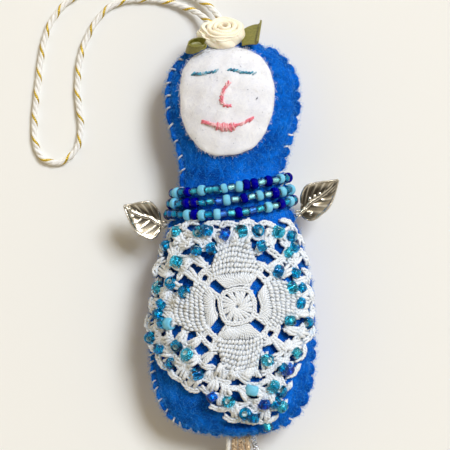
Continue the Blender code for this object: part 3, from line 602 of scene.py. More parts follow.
after = np.searchsorted(stitch_at, edge_at) % stitch_count
lobe_length = (stitch_at[after] - stitch_at[after - 1]) % edge_length
along_lobe = ((edge_at - stitch_at[after - 1]) % edge_length) / lobe_length
pull = 1 - np.maximum(1 - np.abs(2 * along_lobe - 1) ** LOBE_ROUND, 0.0) ** LOBE_POWER
rough = np.tile(draw.normal(0, EDGE_RAG, EDGE_POINTS), 3)
ragged = np.convolve(rough, np.ones(3) / 3, "same")[EDGE_POINTS:2 * EDGE_POINTS]
lobe_size = draw.uniform(*LOBE_SIZES, stitch_count)[after]
lobe_size = lobe_size * np.minimum(2.0 * np.maximum(stitch_depth[after - 1], stitch_depth[after]), 1.0)
notch = pull * stitch_depth[nearest] - LOBE_BULGE * lobe_size * (1 - pull) + ragged
tangent = np.roll(edge, -1, 0) - np.roll(edge, 1, 0)
tangent /= np.linalg.norm(tangent, axis=1, keepdims=True)
inward = np.column_stack([tangent[:, 1], -tangent[:, 0]])
lobed_edge = edge + inward * notch[:, None]
spine = np.column_stack([np.zeros(EDGE_POINTS), np.clip(edge[:, 1], SPINE_FOOT, SPINE_TOP)])
print("edge length, mm:", round(edge_length, 1), "stitches:", stitch_count)

# %% Rings of a felt panel
FELT_ROUND = 0.35
LUMP_HEIGHT, LUMP_SIZE, FINE_SHARE, FINE_SIZE = 0.28, 9.0, 0.4, 0.35


def lumps(points):
    """Soft noise that stands for hand-stuffing."""
    broad = [noise.noise(Vector(p) / LUMP_SIZE) for p in points]
    fine = [noise.noise(Vector(p) / (FINE_SIZE * LUMP_SIZE)) for p in points]
    return np.array(broad) + FINE_SHARE * np.array(fine)


def panel_ring(side, crowns, share, picked):
    """Flat spots, and the plain dome's height, on one ring of a panel; share 1 is the sewn edge."""
    flat = spine[picked] + (lobed_edge[picked] - spine[picked]) * share
    rise = dome(flat[:, 0], flat[:, 1], crowns, outline_half(flat[:, 1]) - SEAM_MARGIN)
    return np.column_stack([flat, SEAM_Z + side * (SEAM_GAP / 2 + FELT + rise)])


print("felt rings from the spine, points each:", EDGE_POINTS)

# %% Stuffing pushes the felt out
SIM_SHARES, SIM_STEP, SIM_SCALE, SIM_HELD = np.linspace(0.0, 1.0, 15), 6, 10.0, 0.25
SIM_FRAMES, SIM_PRESSURE, SIM_STIFF, SWELL_CAP = 20, 4.0, 400.0, 0.35


def swell(side, crowns):
    """Blow a coarse copy of a panel out against its sewn edge, and give how far each point moved."""
    coarse = np.arange(0, EDGE_POINTS, SIM_STEP)
    start = np.stack([panel_ring(side, crowns, share, coarse) for share in SIM_SHARES])
    kept, number = np.unique(start.reshape(-1, 3).round(3), axis=0, return_inverse=True)
    index = number.reshape(start.shape[:2])
    corners = [list(dict.fromkeys(quad)) for quad in ring_quads(index)[:, ::-side].tolist()]
    faces = [face for face in corners if len(face) > 2]
    copy = mesh_piece("panel_copy", kept * SIM_SCALE, faces, [])
    sewn = copy.vertex_groups.new(name="sewn")
    held = pull[::SIM_STEP] > SIM_HELD
    sewn.add(np.unique(index[-1][held]).tolist(), 1.0, "REPLACE")
    cloth = copy.modifiers.new("stuffed", "CLOTH")
    cloth.settings.vertex_group_mass = sewn.name
    cloth.settings.use_pressure = True
    cloth.settings.uniform_pressure_force = SIM_PRESSURE
    cloth.settings.effector_weights.gravity = 0.0
    for spring in ("tension_stiffness", "compression_stiffness", "shear_stiffness"):
        setattr(cloth.settings, spring, SIM_STIFF)
    cloth.collision_settings.use_collision = False
    for moment in range(1, SIM_FRAMES + 1):
        bpy.context.scene.frame_set(moment)
    ended = copy.evaluated_get(bpy.context.evaluated_depsgraph_get()).data.vertices
    spots = np.zeros(len(ended) * 3, np.float32)
    ended.foreach_get("co", spots)
    moved = spots.reshape(-1, 3) / (SIM_SCALE * MM) - kept
    bpy.context.scene.frame_set(1)
    bpy.data.objects.remove(copy)
    most = np.linalg.norm(moved, axis=1).max()
    print("cloth moved at most, mm:", round(float(most), 2), "kept to", SWELL_CAP)
    return (moved * SWELL_CAP / max(most, SWELL_CAP))[index]


def swell_at(moved, share):
    """The movement of the coarse copy, spread over one fine ring."""
    rows, count = moved.shape[:2]
    low = min(int(share * (rows - 1)), rows - 2)
    part = share * (rows - 1) - low
    ring = (1 - part) * moved[low] + part * moved[low + 1]
    closed = np.vstack([ring, ring[:1]])
    return read_line(closed, np.arange(count + 1), np.arange(EDGE_POINTS) / SIM_STEP)


print("cloth frames a panel:", SIM_FRAMES)

# %% Fine felt panels
FLAP_X, FLAP_HALF, FLAP_UP, FLAP_WIDE, FLAP_HEIGHT = 2.5, 5.6, 1.4, 1.4, 1.6
CREASE_UP, CREASE_WIDE, CREASE_DEPTH = 3.9, 1.1, 2.0
OUTER_SHARES = np.concatenate([np.linspace(0.0, 0.84, 20), np.linspace(0.875, 1.0, 10)])
INNER_SHARES, INNER_SLACK = (0.93, 0.8, 0.55, 0.25, 0.0), 0.2
PUCKER_FROM, PUCKER_RUN, PUCKER_POWER, PUCKER_OUT, PUCKER_IN = 0.80, 0.20, 1.5, 0.30, 0.75
LUMPS_AT, LOWEST, PANEL_WELD = 7.0, 0.02, 0.02


def foot_lip(spots):
    """The lip of felt over the tassel: a roll along the foot of the front, with a crease above it."""
    across = np.exp(-((spots[:, 0] - FLAP_X) / FLAP_HALF) ** 4)
    up = spots[:, 1] - BASE_Y
    roll = FLAP_HEIGHT * np.exp(-((up - FLAP_UP) / FLAP_WIDE) ** 2)
    return across * (roll - CREASE_DEPTH * np.exp(-((up - CREASE_UP) / CREASE_WIDE) ** 2))


def felt_panel(name, side, crowns, material):
    """A closed felt shell: outer dome, rounded cut edge, inner face."""
    every = np.arange(EDGE_POINTS)
    level = SEAM_Z + side * SEAM_GAP / 2
    moved = swell(side, crowns)
    rings = []
    for share in OUTER_SHARES:
        ring = panel_ring(side, crowns, share, every) + swell_at(moved, share)
        near_edge = np.clip((share - PUCKER_FROM) / PUCKER_RUN, 0.0, 1.0) ** PUCKER_POWER
        spots = np.column_stack([ring[:, :2], np.full(EDGE_POINTS, side * LUMPS_AT)])
        bump = LUMP_HEIGHT * lumps(spots) * (1 - near_edge)
        pucker = near_edge * (PUCKER_OUT * (1 - pull) - PUCKER_IN * pull)
        lip = foot_lip(ring) if side > 0 else 0.0
        ring[:, 2] = np.maximum(ring[:, 2] + side * (bump + pucker) + lip, LOWEST)
        rings.append(ring)
    outer_edge = rings[-1].copy()
    bulge = outer_edge.copy()
    bulge[:, :2] -= inward * (FELT_ROUND * (1 - pull))[:, None]
    bulge[:, 2] = 0.5 * (outer_edge[:, 2] + level)
    under = outer_edge.copy()
    under[:, 2] = level
    rings += [bulge, under]
    for share in INNER_SHARES:
        flat = spine + (edge - spine) * share
        rise = dome(flat[:, 0], flat[:, 1], crowns, outline_half(flat[:, 1]) - SEAM_MARGIN - FELT)
        rings.append(np.column_stack([flat, level + side * np.maximum(rise - INNER_SLACK, 0.0)]))
    points = np.vstack(rings)
    faces = ring_quads(np.arange(len(points)).reshape(-1, EDGE_POINTS))[:, ::-side]
    made = mesh_piece(name, points, faces, [material])
    weld(made, PANEL_WELD)
    return made


def weld(piece, distance):
    """Merge points that meet, and turn the faces outwards."""
    shell = bmesh.new()
    shell.from_mesh(piece.data)
    bmesh.ops.remove_doubles(shell, verts=shell.verts, dist=distance * MM)
    bmesh.ops.dissolve_degenerate(shell, edges=shell.edges, dist=1e-7)
    bmesh.ops.recalc_face_normals(shell, faces=shell.faces)
    shell.to_mesh(piece.data)
    shell.free()
    piece.data.polygons.foreach_set("use_smooth", np.full(len(piece.data.polygons), True))
    piece.data.update()


blue_felt = grouped_material("blue_felt", felted_fibres, {
    "Scale": 700.0, "Patches": 2.2, "Dark": (0.0, 0.05, 0.325), "Light": (0.002, 0.18, 0.82)},
    roughness=0.95, bump=0.8, depth=0.45, sheen=0.1, glare=0.06)
front_felt = settle(felt_panel("front_felt", 1, FRONT_CROWNS, blue_felt), "doll", "blue_felt", "front_panel")
back_felt = settle(felt_panel("back_felt", -1, BACK_CROWNS, blue_felt), "doll", "blue_felt", "back_panel")

# %% [markdown]
# ## Geometry Nodes tools
# Fuzz, stitches and beads repeat hundreds of times. Each is a small node tree built here: it places copies
# on points, makes them real and gives them their material. A few values change them all, which a mesh made
# point by point can't offer. The result is kept as a plain mesh.

# %% Build and bake a node tree


def geometry_tree(name, inputs):
    """A Geometry Nodes tree with named inputs, and its two end nodes."""
    tree = bpy.data.node_groups.new(name, "GeometryNodeTree")
    tree.interface.new_socket("Geometry", in_out="INPUT", socket_type="NodeSocketGeometry")
    for title, kind, value in inputs:
        socket = tree.interface.new_socket(title, in_out="INPUT", socket_type="NodeSocket" + kind)
        if value is not None:
            socket.default_value = value
    tree.interface.new_socket("Geometry", in_out="OUTPUT", socket_type="NodeSocketGeometry")
    return tree, tree.nodes.new("NodeGroupInput"), tree.nodes.new("NodeGroupOutput")


def made_real(tree, instances, material):
    """Make copies real and give them their material."""
    real = add_node(tree, "GeometryNodeRealizeInstances", {"Geometry": instances})
    coated = add_node(tree, "GeometryNodeSetMaterial", {"Geometry": real.outputs[0], "Material": material})
    return coated.outputs[0]


def random_value(tree, given, low, high):
    """A random vector or number for each copy, drawn by the tree's seed."""
    if isinstance(low, tuple):
        values, kind, outlet = {0: low, 1: high}, "FLOAT_VECTOR", 0
    else:
        values, kind, outlet = {2: low, 3: high}, "FLOAT", 1
    values["Seed"] = given["Seed"]
    return add_node(tree, "FunctionNodeRandomValue", values, data_type=kind).outputs[outlet]


def named_vector(tree, title):
    """The vector that every point carries under a name."""
    node = add_node(tree, "GeometryNodeInputNamedAttribute", {"Name": title}, data_type="FLOAT_VECTOR")
    return node.outputs[0]


def turned_by(tree, rotation, turn):
    """A rotation turned further about its own axes."""
    node = add_node(tree, "FunctionNodeRotateRotation", {0: rotation, 1: turn}, rotation_space="LOCAL")
    return node.outputs[0]


def scaled_by(tree, vector, size):
    """A vector made longer or shorter."""
    return add_node(tree, "ShaderNodeVectorMath", {0: vector, "Scale": size}, operation="SCALE").outputs[0]


def bake(name, source, tree, values):
    """Run a tree on a source and keep the outcome as a new plain mesh piece."""
    modifier = source.modifiers.new(name, "NODES")
    modifier.node_group = tree
    names = {item.name: item.identifier for item in tree.interface.items_tree if item.in_out == "INPUT"}
    for title, value in values.items():
        modifier[names[title]] = value
    graph = bpy.context.evaluated_depsgraph_get()
    mesh = bpy.data.meshes.new_from_object(source.evaluated_get(graph), depsgraph=graph)
    source.modifiers.remove(modifier)
    mesh.name = name
    mesh.polygons.foreach_set("use_smooth", np.full(len(mesh.polygons), True))
    return placed(name, mesh)


print("node tree tools ready")

# %% [markdown]
# ## Felt fuzz
# Wool felt is never clean-cut: single fibres stand off its face and catch the light. A tree scatters short
# bent fibres over the outer face of a panel, lying almost flat, each turned and sized at random. Along the
# cut edge, where loose ends show against the paper, they are denser and stand up more.

# %% Fuzz tree
FIBRE_LENGTH, FIBRE_R, FIBRE_SIZES, CLEAR_OF_TABLE = 1.25, 0.030, (0.5, 1.3), 1.9
PER_MM2 = 1e6


def fuzz_tree():
    """Bent fibres where a surface faces between two slopes and is clear of the table."""
    tree, ends_in, ends_out = geometry_tree("felt_fuzz", [
        ("Density", "Float", 1.0), ("Side", "Float", 1.0), ("Steepest", "Float", 0.02),
        ("Flattest", "Float", 2.0), ("Tilt", "Float", 0.4), ("Stand", "Float", 1.0), ("Seed", "Int", 0),
        ("Material", "Material", None)])
    given = ends_in.outputs
    normal, place = (add_node(tree, "ShaderNodeSeparateXYZ", {0: tree.nodes.new(kind).outputs[0]}).outputs[2]
                     for kind in ("GeometryNodeInputNormal", "GeometryNodeInputPosition"))
    facing = math_node(tree, "MULTIPLY", normal, given["Side"])
    chosen = None
    for value, operation, limit in (
            (facing, "GREATER_THAN", given["Steepest"]), (facing, "LESS_THAN", given["Flattest"]),
            (place, "GREATER_THAN", CLEAR_OF_TABLE * MM)):
        test = add_node(tree, "FunctionNodeCompare", {0: value, 1: limit}, operation=operation).outputs[0]
        if chosen is not None:
            both = add_node(tree, "FunctionNodeBooleanMath", {0: chosen, 1: test}, operation="AND")
            test = both.outputs[0]
        chosen = test
    points = add_node(tree, "GeometryNodeDistributePointsOnFaces", {
        "Mesh": given[0], "Selection": chosen, "Density": given["Density"], "Seed": given["Seed"]})
    length = FIBRE_LENGTH * MM
    bent = add_node(tree, "GeometryNodeCurveQuadraticBezier", {
        "Resolution": 2, "Start": (0, 0, -0.05 * length), "End": (length, -0.1 * length, 0.2 * length),
        "Middle": (0.5 * length, 0.15 * length, 0.42 * length)})
    section = add_node(tree, "GeometryNodeCurvePrimitiveCircle", {"Resolution": 3, "Radius": FIBRE_R * MM})
    fibre = add_node(tree, "GeometryNodeCurveToMesh", {
        "Curve": bent.outputs[0], "Profile Curve": section.outputs[0]})
    swing = random_value(tree, given, (-1.0, -1.0, 0.0), (1.0, 1.0, 2 * math.pi))
    tilts = add_node(tree, "ShaderNodeCombineXYZ", {0: given["Tilt"], 1: given["Tilt"], 2: 1.0})
    turn = add_node(tree, "ShaderNodeVectorMath", {0: swing, 1: tilts.outputs[0]}, operation="MULTIPLY")
    stance = add_node(tree, "ShaderNodeCombineXYZ", {0: 1.0, 1: 1.0, 2: given["Stand"]})
    copies = add_node(tree, "GeometryNodeInstanceOnPoints", {
        "Points": points.outputs["Points"], "Instance": fibre.outputs[0],
        "Rotation": turned_by(tree, points.outputs["Rotation"], turn.outputs[0]),
        "Scale": scaled_by(tree, stance.outputs[0], random_value(tree, given, *FIBRE_SIZES))})
    tree.links.new(made_real(tree, copies.outputs[0], given["Material"]), ends_out.inputs[0])
    return tree


felt_fuzz = fuzz_tree()
print("tree:", felt_fuzz.name)

# %% Fuzz of the panels
blue_fibre = grouped_material("blue_fibre", felted_fibres, {
    "Scale": 500.0, "Patches": 0.9, "Dark": (0.0, 0.10, 0.54), "Light": (0.03, 0.34, 0.94)},
    roughness=0.9, bump=0.1, depth=0.1, sheen=0.1, glare=0.1)
pale_fibre = grouped_material("pale_blue_fibre", felted_fibres, {
    "Scale": 500.0, "Patches": 0.9, "Dark": (0.0, 0.25, 0.80), "Light": (0.14, 0.52, 1.0)},
    roughness=0.9, bump=0.1, depth=0.1, sheen=0.1, glare=0.1)
CUT_EDGE = {"Steepest": -0.75, "Flattest": 0.6}
FUZZ = {
    "front_felt_fuzz": (front_felt, 1.0, blue_fibre, {"Density": 1.52 * PER_MM2, "Seed": 3}),
    "front_felt_nap": (front_felt, 1.0, pale_fibre, {"Density": 1.5 * PER_MM2, "Stand": 0.6, "Seed": 13}),
    "front_edge_fuzz": (front_felt, 1.0, pale_fibre, {
        "Density": 8.0 * PER_MM2, **CUT_EDGE, "Tilt": 0.9, "Seed": 14}),
    "back_edge_fuzz": (back_felt, -1.0, blue_fibre, {
        "Density": 6.0 * PER_MM2, **CUT_EDGE, "Tilt": 1.1, "Seed": 15}),
    "back_felt_fuzz": (back_felt, -1.0, blue_fibre, {"Density": 0.9 * PER_MM2, "Seed": 4})}
for name, (panel, side, fibre, values) in FUZZ.items():
    fuzz = bake(name, panel, felt_fuzz, {"Side": side, "Material": fibre, **values})
    settle(fuzz, "doll", "blue_felt")

# %% [markdown]
# ## Whip stitches
# White thread holds the two panels together: it comes out of the front, slants over the edge and goes in at
# the back. The points are the same spots where the felt edge is drawn in, so each stitch sits in its notch.
# On the doll's right many stitches have sunk out of sight into the felt, so only some are made there.

# %% Whip stitch tree
WHIP_R, WHIP_IN, WHIP_SLANT, WHIP_OVER, WHIP_SIZES = 0.31, 1.4, 0.9, 0.25, (0.85, 1.12)
RIGHT_SHOWN = 0.45


def whip_tree():
    """A loop of thread on every point, turned to face out of the edge."""
    tree, ends_in, ends_out = geometry_tree("whip_stitches", [
        ("Seed", "Int", 0), ("Material", "Material", None)])
    given = ends_in.outputs
    reach, slant, rise = WHIP_IN * MM, WHIP_SLANT * MM, (FELT + WHIP_OVER) * MM
    loop = add_node(tree, "GeometryNodeCurvePrimitiveBezierSegment", {
        "Resolution": 12, "Start": (-reach, -slant, 0.75 * rise), "End": (-reach, slant, -0.75 * rise),
        "Start Handle": (0.9 * reach, -0.4 * slant, 2.3 * rise),
        "End Handle": (0.9 * reach, 0.4 * slant, -2.3 * rise)}, mode="POSITION")
    section = add_node(tree, "GeometryNodeCurvePrimitiveCircle", {"Resolution": 6, "Radius": WHIP_R * MM})
    thread = add_node(tree, "GeometryNodeCurveToMesh", {
        "Curve": loop.outputs[0], "Profile Curve": section.outputs[0], "Fill Caps": True})
    aligned = add_node(tree, "FunctionNodeAlignRotationToVector", {
        "Vector": named_vector(tree, "facing")}, axis="X", pivot_axis="Z")
    turn = random_value(tree, given, (-0.1, -0.1, -0.25), (0.1, 0.1, 0.25))
    copies = add_node(tree, "GeometryNodeInstanceOnPoints", {
        "Points": given[0], "Instance": thread.outputs[0],
        "Rotation": turned_by(tree, aligned.outputs[0], turn),
        "Scale": random_value(tree, given, *WHIP_SIZES)})
    tree.links.new(made_real(tree, copies.outputs[0], given["Material"]), ends_out.inputs[0])
    return tree


def point_piece(name, points, **vectors):
    """A mesh of loose points with vector attributes, to place copies on."""
    made = mesh_piece(name, points, [], [])
    for title, values in vectors.items():
        layer = made.data.attributes.new(title, "FLOAT_VECTOR", "POINT")
        layer.data.foreach_set("vector", np.asarray(values, np.float32).ravel())
    return made


white_thread = grouped_material("white_thread", felted_fibres, {
    "Scale": 1500.0, "Patches": 0.3, "Dark": (0.62, 0.62, 0.64), "Light": (0.92, 0.92, 0.90)},
    roughness=0.8, bump=0.3, depth=0.1, sheen=0.2)
draw = np.random.default_rng(9)
shown = (np.arange(stitch_count) >= len(right_at)) | (draw.random(stitch_count) < RIGHT_SHOWN)
spot = np.round(stitch_at[shown] / edge_length * EDGE_POINTS).astype(int) % EDGE_POINTS
stitch_points = point_piece(
    "stitch_points", np.column_stack([lobed_edge[spot], np.full(len(spot), SEAM_Z)]),
    facing=np.column_stack([-inward[spot], np.zeros(len(spot))]))
whip_stitches = bake("whip_stitches", stitch_points, whip_tree(), {"Seed": 5, "Material": white_thread})
bpy.data.objects.remove(stitch_points)
settle(whip_stitches, "doll", "white_cord")

# %% [markdown]
# ## Face
# The face is an oval hand-cut from white felt, so its edge wanders a little and grey stray fibres show in
# it. It lies on the stuffed head and is rounded over at its cut edge. The fibres are short tubes, because
# painted specks would lie flat and catch no light.

# %% Face oval
FACE_X, FACE_Y, FACE_HALF, FACE_TOP, FACE_CHIN, FACE_ROUND = -2.0, 68.3, 15.5, 15.7, 20.5, 2.3
FACE_ANGLES, FACE_SHARES, FACE_DENT, RING_WELD = 260, np.linspace(0.06, 0.94, 22), 0.20, 0.004
FACE_EDGE, FACE_UNDER = [(0.975, 0.12), (1.0, 0.42)], ((1.0, 0.12), (0.97, 0.02), (0.5, 0.02), (0.0, 0.02))


def face_rim(angle):
    """The hand-cut edge of the face at each angle, from its middle."""
    power = 2 / FACE_ROUND
    wander = (1 + 0.010 * np.sin(3 * angle + 1.0) + 0.008 * np.sin(7 * angle + 2.0)
              + 0.005 * np.sin(17 * angle))
    x = FACE_HALF * np.sign(np.cos(angle)) * np.abs(np.cos(angle)) ** power
    tall = np.where(np.sin(angle) > 0, FACE_TOP, FACE_CHIN)
    y = tall * np.sign(np.sin(angle)) * np.abs(np.sin(angle)) ** power
    return np.column_stack([x, y]) * wander[:, None]


def on_face(x, y):
    """Height of the face felt's upper side."""
    return front_top(x, y) + DRAPE_GAP + FACE_FELT


def ring_mesh(name, rings, material):
    """A closed shell through rings of points, from the middle of one side to the middle of the other."""
    points = np.vstack(rings)
    faces = ring_quads(np.arange(len(points)).reshape(len(rings), -1))
    made = mesh_piece(name, points, faces, [material])
    weld(made, RING_WELD)
    return made


def face_rings():
    """Rings of the face felt: over its upper side, round its cut edge and back underneath."""
    rim = face_rim(np.linspace(0.0, 2 * np.pi, FACE_ANGLES, endpoint=False))
    rings = []
    for share, sink in [(0.0, 0.0)] + [(share, 0.0) for share in FACE_SHARES] + FACE_EDGE:
        x, y = FACE_X + rim[:, 0] * share, FACE_Y + rim[:, 1] * share
        height = on_face(x, y) - sink
        dents = np.sin(0.61 * x + 0.33 * y) * np.sin(0.47 * y - 0.29 * x + 1.0)
        dents = dents + 0.5 * np.sin(1.27 * x - 0.83 * y)
        rings.append(np.column_stack([x, y, height + FACE_DENT * dents * (sink == 0)]))
    for share, lift in FACE_UNDER:
        x, y = FACE_X + rim[:, 0] * share, FACE_Y + rim[:, 1] * share
        rings.append(np.column_stack([x, y, front_top(x, y) + DRAPE_GAP + lift]))
    return rings


# The grey-lavender patches of the face felt are partly painted shade of its soft dents and partly its own
# uneven tone.
white_felt = grouped_material("white_felt", felted_fibres, {
    "Scale": 1000.0, "Patches": 1.6, "Dark": (0.775, 0.80, 0.895), "Light": (0.925, 0.945, 0.995)},
    roughness=0.95, bump=0.6, depth=0.14, sheen=0.1)
face_felt = settle(ring_mesh("face_felt", face_rings(), white_felt), "doll", "white_felt", "face_oval")
white_fibre = grouped_material("white_fibre", felted_fibres, {
    "Scale": 500.0, "Patches": 0.4, "Dark": (0.84, 0.845, 0.87), "Light": (0.93, 0.93, 0.95)},
    roughness=0.9, bump=0.1, depth=0.1, sheen=0.1)
FACE_FUZZ = {
    "face_felt_fuzz": {"Density": 8.0 * PER_MM2, "Steepest": -0.3, "Flattest": 0.75, "Tilt": 0.9, "Seed": 6},
    "face_felt_nap": {"Density": 0.7 * PER_MM2, "Steepest": 0.75, "Stand": 0.5, "Seed": 16}}
for name, values in FACE_FUZZ.items():
    fuzz = bake(name, face_felt, felt_fuzz, {"Side": 1.0, "Material": white_fibre, **values})
    settle(fuzz, "doll", "white_felt")

# %% Grey stray fibres in the face felt
SPECKS, SPECK_HALVES, SPECK_RADII, SPECK_LIFT = 34, (0.05, 0.28), (0.05, 0.12), 0.09
grey_fibre = grouped_material("grey_fibre", felted_fibres, {
    "Scale": 400.0, "Patches": 0.6, "Dark": (0.10, 0.11, 0.20), "Light": (0.42, 0.44, 0.56)},
    roughness=0.9, bump=0.1, depth=0.1)
draw = np.random.default_rng(21)
specks = TubeBatch()
for number in range(SPECKS):
    angle, share = draw.uniform(0, 2 * np.pi), math.sqrt(draw.uniform(0.02, 0.93))
    middle = face_rim(np.array([angle]))[0] * share + (FACE_X, FACE_Y)
    heading, half = draw.uniform(0, np.pi), draw.uniform(*SPECK_HALVES)
    run = np.linspace(-half, half, 5)
    x, y = middle[0] + run * math.cos(heading), middle[1] + run * math.sin(heading) + 0.3 * run ** 2
    specks.add(np.column_stack([x, y, on_face(x, y) + SPECK_LIFT]), draw.uniform(*SPECK_RADII), sides=5)
settle(specks.piece("face_stray_fibres", [grey_fibre]), "doll", "white_felt")

# %% [markdown]
# ## Sewn face
# The closed eyes are back stitches in three blues, the nose is a line of pink ones, and the mouth is a line
# with close satin stitches for the lips. Every stitch is its own short plied thread that dips into the felt:
# a painted line would lose the raised, uneven look of hand sewing.

# %% Stitches of the face
LEFT_EYE = [(-13.5, 74.6), (-10.8, 74.5), (-7.6, 74.9), (-4.5, 75.6)]
RIGHT_EYE = [(-1.5, 76.0), (2.0, 75.1), (5.0, 74.7), (7.7, 74.6)]
NOSE = [(-1.0, 71.8), (-2.9, 69.1), (-3.8, 66.6), (-3.6, 64.7), (-2.3, 63.9), (-0.7, 63.8)]
STITCH_DIP, STITCH_EARLY, STITCH_LATE, STITCH_STRAY = 0.25, 0.12, 1.12, 0.07
MOUTH = [(-10.2, 58.9), (-7.0, 57.9), (-4.0, 57.1), (-1.5, 57.0), (1.5, 57.5), (4.4, 58.5), (6.9, 59.9)]


def sewn(batch, start, end, radius, mark, rise=0.32):
    """One stitch: a short plied thread that arches over the felt and dips in at both ends."""
    share = np.linspace(0.0, 1.0, 8)
    spots = np.outer(1 - share, start) + np.outer(share, end)
    arch = (rise + STITCH_DIP) * np.sin(np.pi * share) ** 0.6
    height = on_face(spots[:, 0], spots[:, 1]) - STITCH_DIP + arch
    batch.add(np.column_stack([spots, height]), radius, sides=8, lobes=2, depth=0.22, pitch=1.3, mark=mark)


def back_stitches(batch, points, length, radius, slant, tones, seed):
    """A line of stitches that overlap a little and slant across the line."""
    line = flat_line(points)
    draw = np.random.default_rng(seed)
    count = max(int(round(line_length(line) / length)), 2)
    for number in range(count):
        a = line[int((len(line) - 1) * max(number - STITCH_EARLY, 0) / count)]
        b = line[int((len(line) - 1) * min(number + STITCH_LATE, count) / count)]
        across = np.array([a[1] - b[1], b[0] - a[0]]) / max(np.linalg.norm(b - a), 1e-6)
        lean = slant * draw.uniform(0.5, 1.3)
        shift = draw.normal(0, STITCH_STRAY, 2)
        tone = int(tones[number % len(tones)])
        sewn(batch, a - across * lean + shift, b + across * lean + shift, radius, tone)


def eye_piece(name, points, seed, node):
    """A closed eye: two lines of stitches, the second thinner and leaning the other way."""
    eye = TubeBatch()
    beside = [(x + 0.5, y - 0.15) for x, y in points[:-1]]
    back_stitches(eye, points, length=1.05, radius=0.29, slant=0.42, tones=(0, 1, 0, 2, 0), seed=seed)
    back_stitches(eye, beside, length=1.4, radius=0.24, slant=-0.2, tones=(1, 0, 2), seed=seed + 1)
    return settle(eye.piece(name, [teal_thread, deep_thread, pale_thread]), "doll", "eye_thread", node)


def thread_material(name, groove, crest):
    """Two-ply sewing thread in two tones; the darker groove tone is painted shade between the plies."""
    return grouped_material(
        name, twisted_plies, {"Turns": 0.8, "Plies": 2.0, "Groove Shade": groove, "Crest": crest},
        roughness=0.6, bump=0.5, depth=0.1, sheen=0.2)


teal_thread = thread_material("teal_thread", (0.02, 0.17, 0.30), (0.07, 0.38, 0.54))
deep_thread = thread_material("deep_thread", (0.02, 0.07, 0.15), (0.05, 0.18, 0.30))
pale_thread = thread_material("pale_thread", (0.22, 0.36, 0.46), (0.44, 0.60, 0.70))
eye_piece("left_eye_stitches", LEFT_EYE, 31, "left_eye_stitch")
eye_piece("right_eye_stitches", RIGHT_EYE, 37, "right_eye_stitch")

# %% Nose and mouth
pink_thread = thread_material("pink_thread", (0.62, 0.09, 0.15), (0.88, 0.25, 0.32))
rose_thread = thread_material("rose_thread", (0.78, 0.26, 0.32), (0.97, 0.62, 0.66))
nose = TubeBatch()
beside_nose = [(x + 0.35, y - 0.1) for x, y in NOSE]
back_stitches(nose, NOSE, length=1.15, radius=0.31, slant=0.38, tones=(0, 1, 0), seed=41)
back_stitches(nose, beside_nose, length=1.9, radius=0.26, slant=-0.18, tones=(1, 0), seed=43)
settle(nose.piece("nose_stitches", [pink_thread, rose_thread]), "doll", "pink_thread", "nose_stitch")

LIP_MIDDLE, LIP_REACH, LIP_HALF, LIP_STITCHES, LIP_PALE = -2.6, 3.3, 1.55, 24, 0.33
mouth = TubeBatch()
above_mouth = [(x, y + 0.3) for x, y in MOUTH]
back_stitches(mouth, MOUTH, length=1.7, radius=0.36, slant=0.26, tones=(0, 0, 1), seed=47)
back_stitches(mouth, above_mouth, length=2.6, radius=0.30, slant=-0.14, tones=(0, 1), seed=53)
mouth_line = flat_line(MOUTH)
draw = np.random.default_rng(59)
for t in np.linspace(-1, 1, LIP_STITCHES):
    x = LIP_MIDDLE + LIP_REACH * t
    y = np.interp(x, mouth_line[:, 0], mouth_line[:, 1])
    half = LIP_HALF * (0.35 + 0.65 * math.sqrt(1 - t * t)) * draw.uniform(0.65, 1.15)
    lean = draw.normal(-0.25, 0.45)
    tone = int(draw.random() < LIP_PALE)
    sewn(mouth, (x - lean, y - half), (x + lean, y + half * 0.95), radius=0.26, mark=tone, rise=0.75)
settle(mouth.piece("mouth_stitches", [pink_thread, rose_thread]), "doll", "pink_thread", "mouth_stitch")

# %% [markdown]
# ## Ribbon rose and leaves
# A satin ribbon is folded along its middle and wound up tight, so its soft fold makes the spiral, and the
# last turns flare out as petals. Two pieces of olive ribbon are tucked under it as leaves, one standing up
# with a turned edge and one curled into a loop. Every ribbon has a real thickness, and a little light goes
# through the cream one, as it does through thin satin.

# %% Ribbon sheets
ROSE_X, ROSE_Y, ROSE_LEAN, ROSE_FLAT = -3.1, 88.0, math.radians(45.0), 6.7
ROSE_CORE, ROSE_RADIUS, ROSE_TURNS, ROSE_STRETCH = 0.5, 4.3, 2.9, 1.2
RIBBON_THICK, FLOOR_THICK, RIBBON_WELD = 0.4, 0.35, 0.001
rose_seat = float(front_top(ROSE_X, ROSE_Y - ROSE_FLAT * math.cos(ROSE_LEAN)))
ROSE_Z = rose_seat + DRAPE_GAP + FACE_FELT + TOUCH_GAP - ROSE_FLAT * math.sin(ROSE_LEAN)


def rose_to_doll(points):
    """Move points from the rose's own frame, which leans back by 45 degrees, to the doll."""
    x, y, z = np.moveaxis(np.asarray(points, float), -1, 0)
    c, s = math.cos(ROSE_LEAN), math.sin(ROSE_LEAN)
    return np.stack([ROSE_X + x, ROSE_Y + c * y + s * z, ROSE_Z - s * y + c * z], -1)


